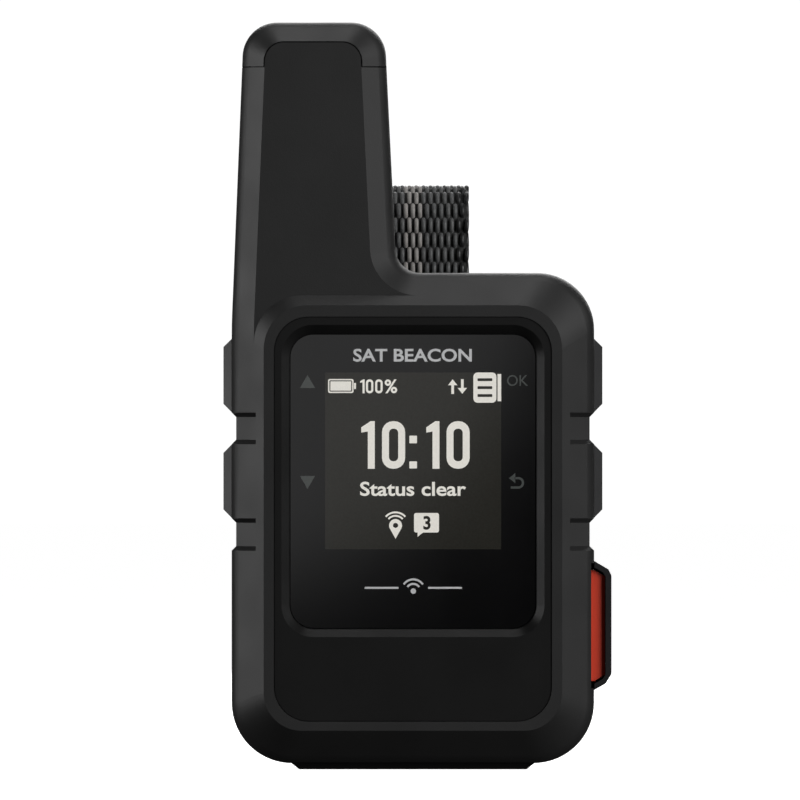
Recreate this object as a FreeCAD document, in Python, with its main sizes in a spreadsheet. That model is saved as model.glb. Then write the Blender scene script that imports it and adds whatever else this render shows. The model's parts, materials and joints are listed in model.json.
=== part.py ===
import FreeCAD, Part
import math
import os
import Sketcher

# A handheld satellite beacon, in millimetres.
# X runs to the right seen from the front, the front faces -Y, and Z is up.
# The origin is the centre of the foot's underside.

doc = FreeCAD.newDocument("satellite_beacon")
dims = doc.addObject("Spreadsheet::Sheet", "dims")

SIZES = {
    # body outline, seen from the front
    "half_width": 24.02,
    "half_depth": 13.05,
    "body_bottom": 0.82,
    "body_top": 65.8,
    "bottom_corner": 8.0,
    "top_corner": 7.5,
    # crest: the crease that frames the front face
    "crest_half_width": 19.75,
    "crest_bottom": 5.2,
    "crest_top": 61.5,
    "crest_bottom_corner": 5.0,
    "crest_top_corner": 5.8,
    "back_inset": 3.4,
    "edge_round": 3.2,
    "back_round": 1.4,
    # stub antenna
    "knee_height": 59.0,
    "knee_corner": 60.0,
    "antenna_top": 99.0,
    "antenna_left": -22.4,
    "antenna_right": -3.78,
    "antenna_foot": -2.15,
    "antenna_corner": 4.6,
    "valley_corner": 3.3,
    "antenna_back": 9.0,
    # flat face of the antenna
    "facet_setback": 1.3,
    "facet_top": 96.3,
    "facet_left": -19.51,
    "facet_right": -6.98,
    "facet_foot": -5.39,
    "facet_corner": 2.5,
    "facet_valley": 6.3,
    "cap_seam": 93.0,
    "seam_gap": 0.15,
    # walls
    "jacket_wall": 1.2,
    "case_wall": 1.4,
    "parting": 2.0,
    "clearance": 0.12,
    # a distance that is past every part, for cutting tools
    "far": 40.0,
    # front window, bezel and lens
    "window_half_width": 18.4,
    "window_bottom": 6.4,
    "window_top": 60.0,
    "window_corner": 4.6,
    "panel_face": -12.9,
    "bezel_half_width": 17.4,
    "bezel_bottom": 17.6,
    "bezel_top": 58.9,
    "bezel_corner": 4.2,
    "bezel_fall": 1.1,
    "lens_half_width": 16.2,
    "lens_bottom": 18.8,
    "lens_top": 57.6,
    "lens_corner": 3.0,
    "lens_face": -11.9,
    "lens_thickness": 1.0,
    "display_half_width": 14.0,
    "display_bottom": 26.2,
    "display_top": 55.4,
    "display_front": -10.72,
    "display_back": -9.3,
    "display_corner": 0.6,
    "display_gap": 0.2,
    "seat_face": -10.75,
    "frame_half_width": 17.3,
    "frame_bottom": 17.3,
    "frame_top": 59.2,
    "frame_back": -9.35,
    "frame_corner": 3.5,
    "backlight_front": -9.25,
    "backlight_back": -8.45,
    "backlight_margin": 0.8,
    "flex_half_width": 6.0,
    "flex_low": 24.0,
    "flex_high": 26.9,
    "flex_thickness": 0.15,
    # side keys
    "key_face": 25.13,
    "key_base": 23.45,
    "key_front": -6.8,
    "key_back": 6.0,
    "upper_key_low": 46.7,
    "upper_key_high": 57.1,
    "lower_key_low": 32.7,
    "lower_key_high": 43.7,
    "lowest_groove": 29.6,
    "groove_depth": 0.6,
    "groove_reach": 20.8,
    "groove_root": 15.0,
    "key_shoulder": 24.05,
    "lower_slope": 1.7,
    "upper_slope": 1.05,
    "stem_radius": 1.5,
    "stem_gap": 0.1,
    "stem_end": 20.75,
    "stem_y": -0.5,
    # switches behind the keys
    "key_board_inner": 18.6,
    "key_board_outer": 19.2,
    "key_board_half_depth": 4.0,
    "key_board_low": 31.0,
    "key_board_high": 55.5,
    "switch_half": 1.75,
    "switch_face": 20.2,
    # power key on the shoulder
    "power_x": 13.0,
    "power_y": -2.0,
    "power_half_length": 4.5,
    "power_half_width": 2.4,
    "power_base": 65.2,
    "power_face": 65.72,
    "power_stem_end": 62.45,
    "power_switch_low": 59.0,
    "power_switch_high": 61.9,
    "power_switch_half": 2.0,
    "power_switch_back": -0.4,
    # SOS key and its cover
    "sos_centre": 19.05,
    "sos_half_height": 7.35,
    "sos_face": 25.47,
    "cover_face": 26.33,
    "sos_base": 23.5,
    "sos_front": -5.7,
    "sos_back": 4.9,
    "sos_bevel": 0.4,
    "sos_shoulder": 24.1,
    "sos_end_fall": 0.85,
    "sos_relief": 23.62,
    "sos_relief_half": 8.3,
    "sos_stem_radius": 1.8,
    "sos_stem_end": 20.7,
    "sos_stem_y": -0.8,
    "sos_switch_inner": 17.4,
    "sos_switch_outer": 20.0,
    "sos_switch_half": 2.5,
    "sos_switch_back": 1.5,
    "cover_base": 24.08,
    "cover_wall": 0.78,
    "cover_half_height": 8.55,
    "cover_front": -6.5,
    "cover_back": 5.4,
    "cover_end": 0.85,
    "cover_low_fall": 2.1,
    "cover_high_fall": 1.9,
    "cover_corner": 0.6,
    "cover_shoulder": 0.39,
    "cover_shoulder_fall": 1.1,
    "cover_inner_fall": 2.0,
    "cover_inner_step": 0.4,
    "cover_inner_end": 1.45,
    "hinge_x": 25.25,
    "hinge_y": 6.9,
    "hinge_radius": 1.05,
    "hinge_half_height": 5.1,
    "pin_radius": 0.5,
    "pin_gap": 0.05,
    "pin_half_length": 6.6,
    "lug_inner": 5.35,
    "lug_outer": 6.65,
    "lug_front": 5.95,
    "lug_back": 7.85,
    "lug_face": 26.2,
    # socket and its weather cap
    "usb_height": 20.5,
    "usb_mouth": -22.6,
    "usb_rear": -15.3,
    "usb_half_length": 4.47,
    "usb_half_width": 1.6,
    "usb_shell": 0.3,
    "usb_tongue_half": 0.35,
    "usb_tongue_length": 3.3,
    "usb_board_thickness": 0.7,
    "usb_board_inner": -13.5,
    "usb_board_outer": -21.2,
    "usb_board_half_length": 6.0,
    "weather_half_height": 6.7,
    "weather_half_depth": 4.5,
    "weather_corner": 1.2,
    "weather_thickness": 0.67,
    "weather_hinge_y": 4.78,
    "weather_hinge_radius": 0.33,
    "weather_hinge_half": 5.5,
    "weather_plug_x": -22.65,
    "weather_plug_half_length": 3.5,
    "weather_plug_half_width": 1.2,
    # foot
    "foot_half_width": 16.1,
    "foot_half_depth": 8.0,
    "foot_chamfer": 1.05,
    "foot_key_half_width": 14.0,
    "foot_key_half_depth": 6.5,
    # main board and battery
    "board_back": -5.6,
    "board_thickness": 1.0,
    "board_half_width": 20.2,
    "board_bottom": 5.0,
    "board_top": 61.5,
    "board_corner": 4.5,
    "battery_front": 2.1,
    "battery_thickness": 5.8,
    "battery_half_width": 16.8,
    "battery_low": 12.0,
    "battery_high": 55.5,
    "battery_corner": 2.0,
    "pad_half_width": 12.0,
    "pad_low": 30.0,
    "pad_high": 54.0,
    "modem_half_width": 13.0,
    "modem_low": 12.0,
    "modem_high": 44.0,
    "modem_height": 2.6,
    "shield_sheet": 0.3,
    "radio_left": -14.7,
    "radio_right": 2.0,
    "radio_low": 7.5,
    "radio_high": 22.0,
    "radio_height": 2.0,
    "sounder_x": 9.5,
    "sounder_height": 13.6,
    "sounder_radius": 5.0,
    "sounder_depth": 2.6,
    "patch_left": 3.0,
    "patch_right": 15.0,
    "patch_low": 46.0,
    "patch_high": 58.0,
    "patch_depth": 3.2,
    # main antenna, inside the stub
    "former_x": -13.0,
    "former_y": -1.4,
    "former_radius": 5.0,
    "former_bore": 4.2,
    "former_low": 62.0,
    "former_high": 93.0,
    "helix_radius": 5.25,
    "strip_thickness": 0.4,
    "strip_width": 1.8,
    "helix_low": 64.5,
    "helix_pitch": 13.0,
    "helix_height": 26.0,
    "helix_segment": 0.25,
    "feed_half_width": 2.2,
    "feed_low": 58.5,
    "feed_back": 0.0,
    "boss_x": 17.6,
    "boss_low": 8.0,
    "boss_high": 58.5,
    "boss_radius": 2.4,
    "boss_notch": 2.7,
    "screw_shaft": 0.95,
    "screw_bore": 1.0,
    "screw_pass": 1.1,
    "screw_tip": -3.0,
    "screw_head": 1.8,
    "screw_head_pocket": 1.9,
    "screw_seat": 10.55,
    "screw_head_top": 11.7,
    "socket_radius": 0.6,
    "socket_depth": 0.7,
    "seal_outer": 1.6,
    "seal_inner": 2.2,
    "seal_half": 0.3,
    # fittings on the back
    "spine_half_width": 12.0,
    "spine_bottom": 13.0,
    "spine_top": 61.0,
    "spine_corner": 2.0,
    "insert_radius": 3.2,
    "insert_bore": 2.05,
    "insert_front": 8.5,
    "insert_boss": 4.4,
    "plate_half_width": 10.5,
    "plate_low": 14.5,
    "plate_high": 55.2,
    "plate_corner": 2.5,
    "plate_hole": 2.3,
    "rail_inner": 7.7,
    "rail_high": 62.2,
    "bar_low": 59.9,
    "bar_front": 14.8,
    "bar_back": 16.2,
    "plate_front": 13.1,
    "plate_back": 15.7,
    "screw_height": 24.0,
    "screw_radius": 2.0,
    "knob_radius": 4.5,
    "knob_front": 15.85,
    "knob_back": 19.4,
    "screw_end": 8.9,
    "ring_boss_half_width": 2.4,
    "ring_boss_half_height": 1.4,
    "ring_boss_back": 21.3,
    "ring_y": 20.1,
    "ring_gap": 0.06,
    "ring_half_width": 4.2,
    "ring_top_corner": 1.2,
    "ring_low_corner": 3.5,
    "ring_wire": 0.6,
    "ring_reach": 6.9,
    "strap_width": 14.6,
    "strap_thickness": 1.5,
    "strap_front": 13.9,
    "strap_back": 22.0,
    "strap_top": 77.4,
    "strap_low": 55.4,
    "strap_outer_corner": 4.75,
    "strap_inner_corner": 3.25,
    # carabiner
    "rod_radius": 2.0,
    "rod_y": 18.9,
    "rod_top": 59.6,
    "rod_bottom": 10.0,
    "rod_half_width": 11.0,
    "rod_top_corner": 3.7,
    "rod_bottom_corner": 8.0,
    "rod_end_height": 53.0,
    "gate_pin_height": 33.0,
    "gate_top": 52.7,
    "gate_radius": 1.9,
    "gate_shoulder": 35.5,
    "gate_pin_radius": 0.7,
    "gate_running_gap": 0.05,
    "cheek_gap": 0.85,
    "tongue_half": 0.75,
    "tongue_radius": 1.7,
}

for row, (alias, size) in enumerate(SIZES.items(), start=1):
    dims.set(f"A{row}", alias)
    dims.set(f"B{row}", str(size))
    dims.setAlias(f"B{row}", alias)
doc.recompute()

# A 45 degree corner moves by this share of a wall's thickness when the wall is offset.
CORNER_SHARE = math.tan(math.radians(22.5))
PLANES = {
    "XY": FreeCAD.Rotation(),
    "XZ": FreeCAD.Rotation(FreeCAD.Vector(1, 0, 0), 90),
    "YZ": FreeCAD.Rotation(FreeCAD.Vector(1, 1, 1), 120),
}
OFFSET_AXIS = {"XY": "z", "XZ": "y", "YZ": "x"}
parts = {}


def expression(text):
    """Turn plain size names into the names that the document's expressions know."""
    words = str(text).replace("(", " ( ").replace(")", " ) ").split(" ")
    return " ".join("dims." + w if w.lstrip("-") in SIZES and not w.startswith("-") else
                    "-dims." + w[1:] if w.startswith("-") and w[1:] in SIZES else w for w in words)


def value(text):
    """The number that an expression of size names works out to."""
    return float(dims.evalExpression(expression(text)))


def bind(obj, path, text):
    obj.setExpression(path, expression(text))


def part(node, obj):
    """Name an object as one finished piece of the assembly."""
    obj.Label = node
    parts[node] = obj
    return obj


# ---------------------------------------------------------------- shape helpers

def add_outline(sketch, corners, closed=True):
    """An outline or an open path of straight sides whose corners are sharp or rounded.

    Each corner is (x, y, radius), as expressions; a radius of None leaves it sharp.
    The corner point and the radius are dimensioned, so the outline follows the sheet.
    """
    count = len(corners)
    sides = count if closed else count - 1
    points = [FreeCAD.Vector(value(x), value(y), 0) for x, y, radius in corners]
    entry, leave, arcs = [], [], []
    for i, (x, y, radius) in enumerate(corners):
        before = (points[i] - points[i - 1]).normalize()
        after = (points[(i + 1) % count] - points[i]).normalize()
        if radius is None:
            entry.append(points[i])
            leave.append(points[i])
            arcs.append(None)
            continue
        turn = math.atan2(before.cross(after).z, before.dot(after))
        r = value(radius)
        run = r * math.tan(abs(turn) / 2)
        entry.append(points[i] - before * run)
        leave.append(points[i] + after * run)
        side = FreeCAD.Vector(-before.y, before.x, 0) * math.copysign(r, turn)
        centre = entry[i] + side
        ends = [entry[i], leave[i]] if turn > 0 else [leave[i], entry[i]]
        angles = [math.atan2(p.y - centre.y, p.x - centre.x) for p in ends]
        circle = Part.Circle(centre, FreeCAD.Vector(0, 0, 1), r)
        arcs.append((Part.ArcOfCircle(circle, angles[0], angles[1]), turn > 0))
    lines = [sketch.addGeometry(Part.LineSegment(leave[i], entry[(i + 1) % count])) for i in range(sides)]
    for i, (x, y, radius) in enumerate(corners):
        into = lines[i - 1]
        out = lines[i % sides]
        if not closed and i == 0:
            holder = (out, 1)
        elif not closed and i == count - 1:
            holder = (into, 2)
        elif radius is None:
            sketch.addConstraint(Sketcher.Constraint("Coincident", into, 2, out, 1))
            holder = (out, 1)
        else:
            arc, left_turn = arcs[i]
            start, end = (1, 2) if left_turn else (2, 1)
            curve = sketch.addGeometry(arc)
            corner = sketch.addGeometry(Part.Point(points[i]), True)
            sketch.addConstraint([
                Sketcher.Constraint("Tangent", into, 2, curve, start),
                Sketcher.Constraint("Tangent", curve, end, out, 1),
                Sketcher.Constraint("PointOnObject", corner, 1, into),
                Sketcher.Constraint("PointOnObject", corner, 1, out),
            ])
            size = sketch.addConstraint(Sketcher.Constraint("Radius", curve, value(radius)))
            sketch.setExpression(f"Constraints[{size}]", expression(radius))
            holder = (corner, 1)
        across = sketch.addConstraint(Sketcher.Constraint("DistanceX", -1, 1, *holder, points[i].x))
        up = sketch.addConstraint(Sketcher.Constraint("DistanceY", -1, 1, *holder, points[i].y))
        sketch.setExpression(f"Constraints[{across}]", expression(x))
        sketch.setExpression(f"Constraints[{up}]", expression(y))


def add_circle(sketch, x, y, radius):
    """A circle, dimensioned by its centre and radius."""
    centre = FreeCAD.Vector(value(x), value(y), 0)
    ring = sketch.addGeometry(Part.Circle(centre, FreeCAD.Vector(0, 0, 1), value(radius)))
    size = sketch.addConstraint(Sketcher.Constraint("Radius", ring, value(radius)))
    across = sketch.addConstraint(Sketcher.Constraint("DistanceX", -1, 1, ring, 3, centre.x))
    up = sketch.addConstraint(Sketcher.Constraint("DistanceY", -1, 1, ring, 3, centre.y))
    for place, text in ((size, radius), (across, x), (up, y)):
        sketch.setExpression(f"Constraints[{place}]", expression(text))


def free_sketch(name, plane, at, corners, closed=True):
    """A sketch on its own, parallel to a plane of the frame, for lofts and sweeps."""
    sketch = doc.addObject("Sketcher::SketchObject", name)
    sketch.Placement = FreeCAD.Placement(FreeCAD.Vector(), PLANES[plane])
    bind(sketch, f"Placement.Base.{OFFSET_AXIS[plane]}", at)
    add_outline(sketch, corners, closed)
    return sketch


def rod(name, path, start_plane, start_at, x, y, radius):
    """A round rod along a sketched path; its circle sits where the path starts."""
    circle = doc.addObject("Sketcher::SketchObject", name + "_circle")
    circle.Placement = FreeCAD.Placement(FreeCAD.Vector(), PLANES[start_plane])
    bind(circle, f"Placement.Base.{OFFSET_AXIS[start_plane]}", start_at)
    add_circle(circle, x, y, radius)
    sweep = doc.addObject("Part::Sweep", name)
    sweep.Sections = [circle]
    sweep.Spine = path
    sweep.Solid = True
    sweep.Frenet = False
    return sweep


def pad(name, plane, low, high, corners=None, circles=(), holes=()):
    """A PartDesign body: one padded sketch from low to high along the third axis."""
    body = doc.addObject("PartDesign::Body", name)
    sketch = body.newObject("Sketcher::SketchObject", name + "_sketch")
    origin = [f for f in body.Origin.OriginFeatures if f.Role == plane + "_Plane"][0]
    sketch.AttachmentSupport = [(origin, "")]
    sketch.MapMode = "FlatFace"
    # the XZ plane's normal points towards -Y, so its pads start at the high end
    start = f"-1 * ({high})" if plane == "XZ" else low
    bind(sketch, "AttachmentOffset.Base.z", start)
    if corners:
        add_outline(sketch, corners)
    for outline in holes:
        add_outline(sketch, outline)
    for circle in circles:
        add_circle(sketch, *circle)
    feature = body.newObject("PartDesign::Pad", name + "_pad")
    feature.Profile = sketch
    bind(feature, "Length", f"({high}) - ({low})")
    return body


def rectangle(x0, y0, x1, y1, radius=None):
    """Corners of an upright rectangle, anticlockwise from its lower left."""
    return [(x0, y0, radius), (x1, y0, radius), (x1, y1, radius), (x0, y1, radius)]


def box(name, x, y, z):
    """A block between two corners, given as (low, high) pairs."""
    block = doc.addObject("Part::Box", name)
    for length, axis, (low, high) in (("Length", "x", x), ("Width", "y", y), ("Height", "z", z)):
        bind(block, length, f"({high}) - ({low})")
        bind(block, f"Placement.Base.{axis}", low)
    return block


def cylinder(name, axis, centre, radius, low, high):
    """A round bar along X, Y or Z; centre is its place across the other two axes, in X, Y, Z order."""
    bar = doc.addObject("Part::Cylinder", name)
    turn = {"X": FreeCAD.Rotation(FreeCAD.Vector(0, 1, 0), 90),
            "Y": FreeCAD.Rotation(FreeCAD.Vector(1, 0, 0), -90),
            "Z": FreeCAD.Rotation()}[axis]
    bar.Placement = FreeCAD.Placement(FreeCAD.Vector(), turn)
    bind(bar, "Radius", radius)
    bind(bar, "Height", f"({high}) - ({low})")
    bind(bar, f"Placement.Base.{axis.lower()}", low)
    for other, place in zip([a for a in "xyz" if a != axis.lower()], centre):
        bind(bar, f"Placement.Base.{other}", place)
    return bar


def group(name, *solids):
    """Separate solids that are one node."""
    together = doc.addObject("Part::Compound", name)
    together.Links = list(solids)
    return together


def fuse(name, *shapes):
    joined = doc.addObject("Part::MultiFuse", name)
    joined.Shapes = list(shapes)
    joined.Refine = True
    return joined


def common(name, *shapes):
    shared = doc.addObject("Part::MultiCommon", name)
    shared.Shapes = list(shapes)
    return shared


def cut(name, base, *tools):
    """The base less every tool."""
    trimmed = doc.addObject("Part::Cut", name)
    trimmed.Base = base
    trimmed.Tool = tools[0] if len(tools) == 1 else fuse(name + "_tools", *tools)
    return trimmed


def loft(name, sections):
    """A straight-sided loft through sections that have the same corners."""
    solid = doc.addObject("Part::Loft", name)
    solid.Sections = sections
    solid.Solid = True
    solid.Ruled = True
    return solid


def round_edges(name, base, radius, wanted):
    """A fillet on the edges that the test function picks."""
    doc.recompute()
    picked = [i for i, edge in enumerate(base.Shape.Edges, start=1) if wanted(edge)]
    rounded = doc.addObject("Part::Fillet", name)
    rounded.Base = base
    rounded.Edges = [(i, value(radius), value(radius)) for i in picked]
    return rounded


def at_y(y, tolerance=0.02):
    """Picks the edges that lie in one plane across Y."""
    return lambda edge: abs(edge.BoundBox.YMin - y) < tolerance and abs(edge.BoundBox.YMax - y) < tolerance


# ---------------------------------------------------------------- the body's outer form

SLOPE = "(half_width - crest_half_width)"
FRONT_FALL = f"({SLOPE} - facet_setback)"
SHARE = f"({FRONT_FALL} / {SLOPE})"


def between(outer, crest):
    """A size part of the way up the front slope, level with the antenna's flat face."""
    return f"({outer} + {SHARE} * ( {crest} - {outer} ))"


def silhouette(inset):
    """The whole outline seen from the front: body and antenna."""
    side = f"(half_width - {inset})"
    return [
        (f"-1 * {side}", f"body_bottom + {inset}", f"bottom_corner - {inset}"),
        (side, f"body_bottom + {inset}", f"bottom_corner - {inset}"),
        (side, f"body_top - {inset}", f"top_corner - {inset}"),
        (f"antenna_foot - {inset}", f"body_top - {inset}", f"valley_corner + {inset}"),
        (f"antenna_right - {inset}", f"antenna_top - {inset}", f"antenna_corner - {inset}"),
        (f"antenna_left + {inset}", f"antenna_top - {inset}", f"antenna_corner - {inset}"),
        (f"-1 * {side}", "knee_height", "knee_corner"),
    ]


def facet_ring(inset):
    """The outline level with the antenna's flat face, part of the way up the front slope."""
    side = f"(half_width - {FRONT_FALL} - {inset})"
    low = f"{between('body_bottom', 'crest_bottom')} + {inset}"
    high = f"{between('body_top', 'crest_top')} - {inset}"
    low_corner = f"{between('bottom_corner', 'crest_bottom_corner')} - {inset}"
    return [
        (f"-1 * {side}", low, low_corner),
        (side, low, low_corner),
        (side, high, f"{between('top_corner', 'crest_top_corner')} - {inset}"),
        (f"facet_foot - {inset}", high, f"facet_valley + {inset}"),
        (f"facet_right - {inset}", f"facet_top - {inset}", f"facet_corner - {inset}"),
        (f"facet_left + {inset}", f"facet_top - {inset}", f"facet_corner - {inset}"),
        (f"-1 * {side}", "knee_height", "knee_corner"),
    ]


def block(side, low, high, low_corner, high_corner):
    """A rounded rectangle about the body's centre line."""
    return [
        (f"-1 * {side}", low, low_corner),
        (side, low, low_corner),
        (side, high, high_corner),
        (f"-1 * {side}", high, high_corner),
    ]


def facet_block(inset):
    """The body's own part of the facet ring, without the antenna."""
    return block(f"(half_width - {FRONT_FALL} - {inset})",
                 f"{between('body_bottom', 'crest_bottom')} + {inset}",
                 f"{between('body_top', 'crest_top')} - {inset}",
                 f"{between('bottom_corner', 'crest_bottom_corner')} - {inset}",
                 f"{between('top_corner', 'crest_top_corner')} - {inset}")


def crest_block(inset):
    return block(f"(crest_half_width - {inset})", f"crest_bottom + {inset}", f"crest_top - {inset}",
                 f"crest_bottom_corner - {inset}", f"crest_top_corner - {inset}")


def body_block(inset):
    return block(f"(half_width - {inset})", f"body_bottom + {inset}", f"body_top - {inset}",
                 f"bottom_corner - {inset}", f"top_corner - {inset}")


def envelope(name, wall):
    """The solid inside the outer form at a wall's depth: body, antenna, front crest and back."""
    edge = f"({wall} * {CORNER_SHARE:.6f})"
    back_full = f"antenna_back - {FRONT_FALL} - {edge}"
    front_full = f"{SLOPE} - half_depth + {edge}"
    facet_y = f"facet_setback - half_depth + {wall}"
    main = loft(name + "_main", [
        free_sketch(name + "_a", "XZ", f"antenna_back - {wall}", facet_ring(edge)),
        free_sketch(name + "_b", "XZ", back_full, silhouette(wall)),
        free_sketch(name + "_c", "XZ", front_full, silhouette(wall)),
        free_sketch(name + "_d", "XZ", facet_y, facet_ring(edge)),
    ])
    crest = loft(name + "_crest", [
        free_sketch(name + "_e", "XZ", facet_y, facet_block(edge)),
        free_sketch(name + "_f", "XZ", f"{wall} - half_depth", crest_block(edge)),
    ])
    back = loft(name + "_back", [
        free_sketch(name + "_g", "XZ", back_full, body_block(wall)),
        free_sketch(name + "_h", "XZ", f"half_depth - back_inset - {edge}", body_block(wall)),
        free_sketch(name + "_i", "XZ", f"half_depth - {wall}", body_block(f"(back_inset + {edge})")),
    ])
    return fuse(name, main, crest, back)


outer = envelope("outer", "0")
core = envelope("core", "jacket_wall")
cavity = envelope("cavity", "(jacket_wall + case_wall)")
doc.recompute()

front_rounded = round_edges("front_rounded", outer, "edge_round", at_y(value(f"{SLOPE} - half_depth")))
rounded = round_edges("rounded", front_rounded, "back_round", at_y(value("half_depth - back_inset")))


def mirrored(side, low, high):
    """A low and high pair on the right side, or its mirror image on the left."""
    return (low, high) if side > 0 else (f"-1 * ({high})", f"-1 * ({low})")


def flipped(side, corners):
    """An outline on the right side, or its mirror image on the left, kept anticlockwise."""
    if side > 0:
        return corners
    return [(f"-1 * ({x})", y, radius) for x, y, radius in reversed(corners)]


SIDES = (("left", -1), ("right", 1))
KEYS = {
    "up_button": (-1, "upper"),
    "ok_button": (1, "upper"),
    "down_button": (-1, "lower"),
    "back_button": (1, "lower"),
}


# ---------------------------------------------------------------- keys

def side_key(name, side, level):
    """A side key: a cap with sloping ends, and a stem that reaches its switch."""
    low, high = f"{level}_key_low + gate_running_gap", f"{level}_key_high - gate_running_gap"
    top = "key_shoulder" if level == "upper" else "key_base"
    rise = "upper_slope" if level == "upper" else "lower_slope"
    front_view = [("key_base", low, None), ("key_face", f"{low} + lower_slope", None),
                  ("key_face", f"{high} - {rise}", None), (top, high, None)]
    if level == "upper":
        front_view.append(("key_base", high, None))
    bevel = "( key_face - key_shoulder )"
    top_view = [("key_base", "key_front", None), ("key_shoulder", "key_front", None),
                ("key_face", f"key_front + {bevel}", None), ("key_face", f"key_back - {bevel}", None),
                ("key_shoulder", "key_back", None), ("key_base", "key_back", None)]
    cap = common(name + "_cap",
                 pad(name + "_front_view", "XZ", "key_front", "key_back", flipped(side, front_view)),
                 pad(name + "_top_view", "XY", low, high, flipped(side, top_view)))
    stem = cylinder(name + "_stem", "X", ("stem_y", f"( {level}_key_low + {level}_key_high ) / 2"),
                    "stem_radius", *mirrored(side, "stem_end", "key_base + stem_gap"))
    return part(name, fuse(name, cap, stem))


for name, (side, level) in KEYS.items():
    side_key(name, side, level)

POWER_PLACE = ("power_x", "power_y")


def power_outline(gap):
    """A rounded bar about the power key's centre, as seen from above."""
    return rectangle(f"power_x - power_half_length - {gap}", f"power_y - power_half_width - {gap}",
                     f"power_x + power_half_length + {gap}", f"power_y + power_half_width + {gap}",
                     f"power_half_width + {gap} - stem_gap")


power_cap = pad("power_cap", "XY", "power_base", "power_face", power_outline("0"))
power_stem = cylinder("power_stem", "Z", POWER_PLACE, "stem_radius", "power_stem_end",
                      "power_base + stem_gap")
part("power_button", fuse("power_button", power_cap, power_stem))

# ---------------------------------------------------------------- SOS key, cover and hinge

SOS_LOW = "sos_centre - sos_half_height"
SOS_HIGH = "sos_centre + sos_half_height"
sos_front_view = pad("sos_front_view", "XZ", "sos_front", "sos_back", [
    ("sos_base", SOS_LOW, None), ("sos_shoulder", SOS_LOW, None),
    ("sos_face", f"{SOS_LOW} + sos_end_fall", None), ("sos_face", f"{SOS_HIGH} - sos_end_fall", None),
    ("sos_shoulder", SOS_HIGH, None), ("sos_base", SOS_HIGH, None)])
sos_top_view = pad("sos_top_view", "XY", SOS_LOW, SOS_HIGH, [
    ("sos_base", "sos_front", None), ("sos_face - sos_bevel", "sos_front", None),
    ("sos_face", "sos_front + sos_bevel", None), ("sos_face", "sos_back - sos_bevel", None),
    ("sos_face - sos_bevel", "sos_back", None), ("sos_base", "sos_back", None)])
sos_stem = cylinder("sos_stem", "X", ("sos_stem_y", "sos_centre"), "sos_stem_radius",
                    "sos_stem_end", "sos_base + stem_gap")
part("sos_button", fuse("sos_button", common("sos_block", sos_front_view, sos_top_view), sos_stem))


def cover_outline():
    """The cover seen from the front: a bridge with sloping ends, open towards the body."""
    top, low = "sos_centre + cover_half_height", "sos_centre - cover_half_height"
    inside = "cover_face - cover_wall"
    return [
        ("cover_base", low, None),
        (inside, f"{low} + cover_end", None),
        ("cover_face", f"{low} + cover_low_fall", "cover_corner"),
        ("cover_face", f"{top} - cover_high_fall", "cover_corner"),
        ("cover_face - cover_shoulder", f"{top} - cover_shoulder_fall", None),
        ("cover_base", top, None),
        ("cover_base", f"{top} - cover_end", None),
        (f"{inside} - cover_inner_step", f"{top} - cover_inner_end", None),
        (inside, f"{top} - cover_inner_fall", None),
        (inside, f"{low} + cover_inner_fall", None),
        (f"{inside} - cover_inner_step", f"{low} + cover_inner_end", None),
        ("cover_base", f"{low} + cover_end", None),
    ]


HINGE_LOW = "sos_centre - hinge_half_height"
HINGE_HIGH = "sos_centre + hinge_half_height"
HINGE_PLACE = ("hinge_x", "hinge_y")
cover_bridge = pad("cover_bridge", "XZ", "cover_front", "cover_back", cover_outline())
cover_web = box("cover_web", ("hinge_x", "cover_face - pin_gap"), ("cover_back - stem_gap", "hinge_y"),
                (HINGE_LOW, HINGE_HIGH))
cover_knuckle = cylinder("cover_knuckle", "Z", HINGE_PLACE, "hinge_radius", HINGE_LOW, HINGE_HIGH)
cover_bore = cylinder("cover_bore", "Z", HINGE_PLACE, "pin_radius + pin_gap", "0", "far")
cover_body = fuse("cover_body", cover_bridge, cover_web, cover_knuckle)
part("sos_cap", cut("sos_cap", cover_body, cover_bore))
hinge_pin = cylinder("sos_hinge_pin", "Z", HINGE_PLACE, "pin_radius",
                     "sos_centre - pin_half_length", "sos_centre + pin_half_length")
part("sos_hinge_pin", hinge_pin)


def lugs(name, gap):
    """The two ears that hold the cover's pin; the gap is added all round for their slots."""
    ears = []
    for place, low, high in (("low", "sos_centre - lug_outer", "sos_centre - lug_inner"),
                             ("high", "sos_centre + lug_inner", "sos_centre + lug_outer")):
        ears.append(box(f"{name}_{place}", ("half_width - jacket_wall - case_wall", f"lug_face + {gap}"),
                        (f"lug_front - {gap}", f"lug_back + {gap}"), (f"{low} - {gap}", f"{high} + {gap}")))
    return ears


# ---------------------------------------------------------------- socket and weather cap


def usb_outline(gap):
    """The socket's rounded mouth, seen from the side."""
    return rectangle(f"-1 * ( usb_half_width + {gap} )", f"usb_height - usb_half_length - {gap}",
                     f"usb_half_width + {gap}", f"usb_height + usb_half_length + {gap}",
                     f"usb_half_width + {gap} - pin_gap")


usb_shell = pad("usb_shell_body", "YZ", "usb_mouth", "usb_rear", usb_outline("0"))
usb_hollow = pad("usb_hollow", "YZ", "usb_mouth - usb_shell", "usb_rear - 2 * usb_shell",
                 usb_outline("( -1 * usb_shell )"))
usb_tongue = box("usb_tongue", ("usb_mouth + 2 * usb_shell", "usb_rear - usb_shell"),
                 ("-1 * usb_tongue_half", "usb_tongue_half"),
                 ("usb_height - usb_tongue_length", "usb_height + usb_tongue_length"))
part("usb_port", fuse("usb_port", cut("usb_tube", usb_shell, usb_hollow), usb_tongue))
usb_board = box("usb_board", ("usb_board_outer", "usb_board_inner"),
                ("-1 * usb_half_width - usb_board_thickness", "-1 * usb_half_width"),
                ("usb_height - usb_board_half_length", "usb_height + usb_board_half_length"))
part("usb_board", usb_board)

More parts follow.
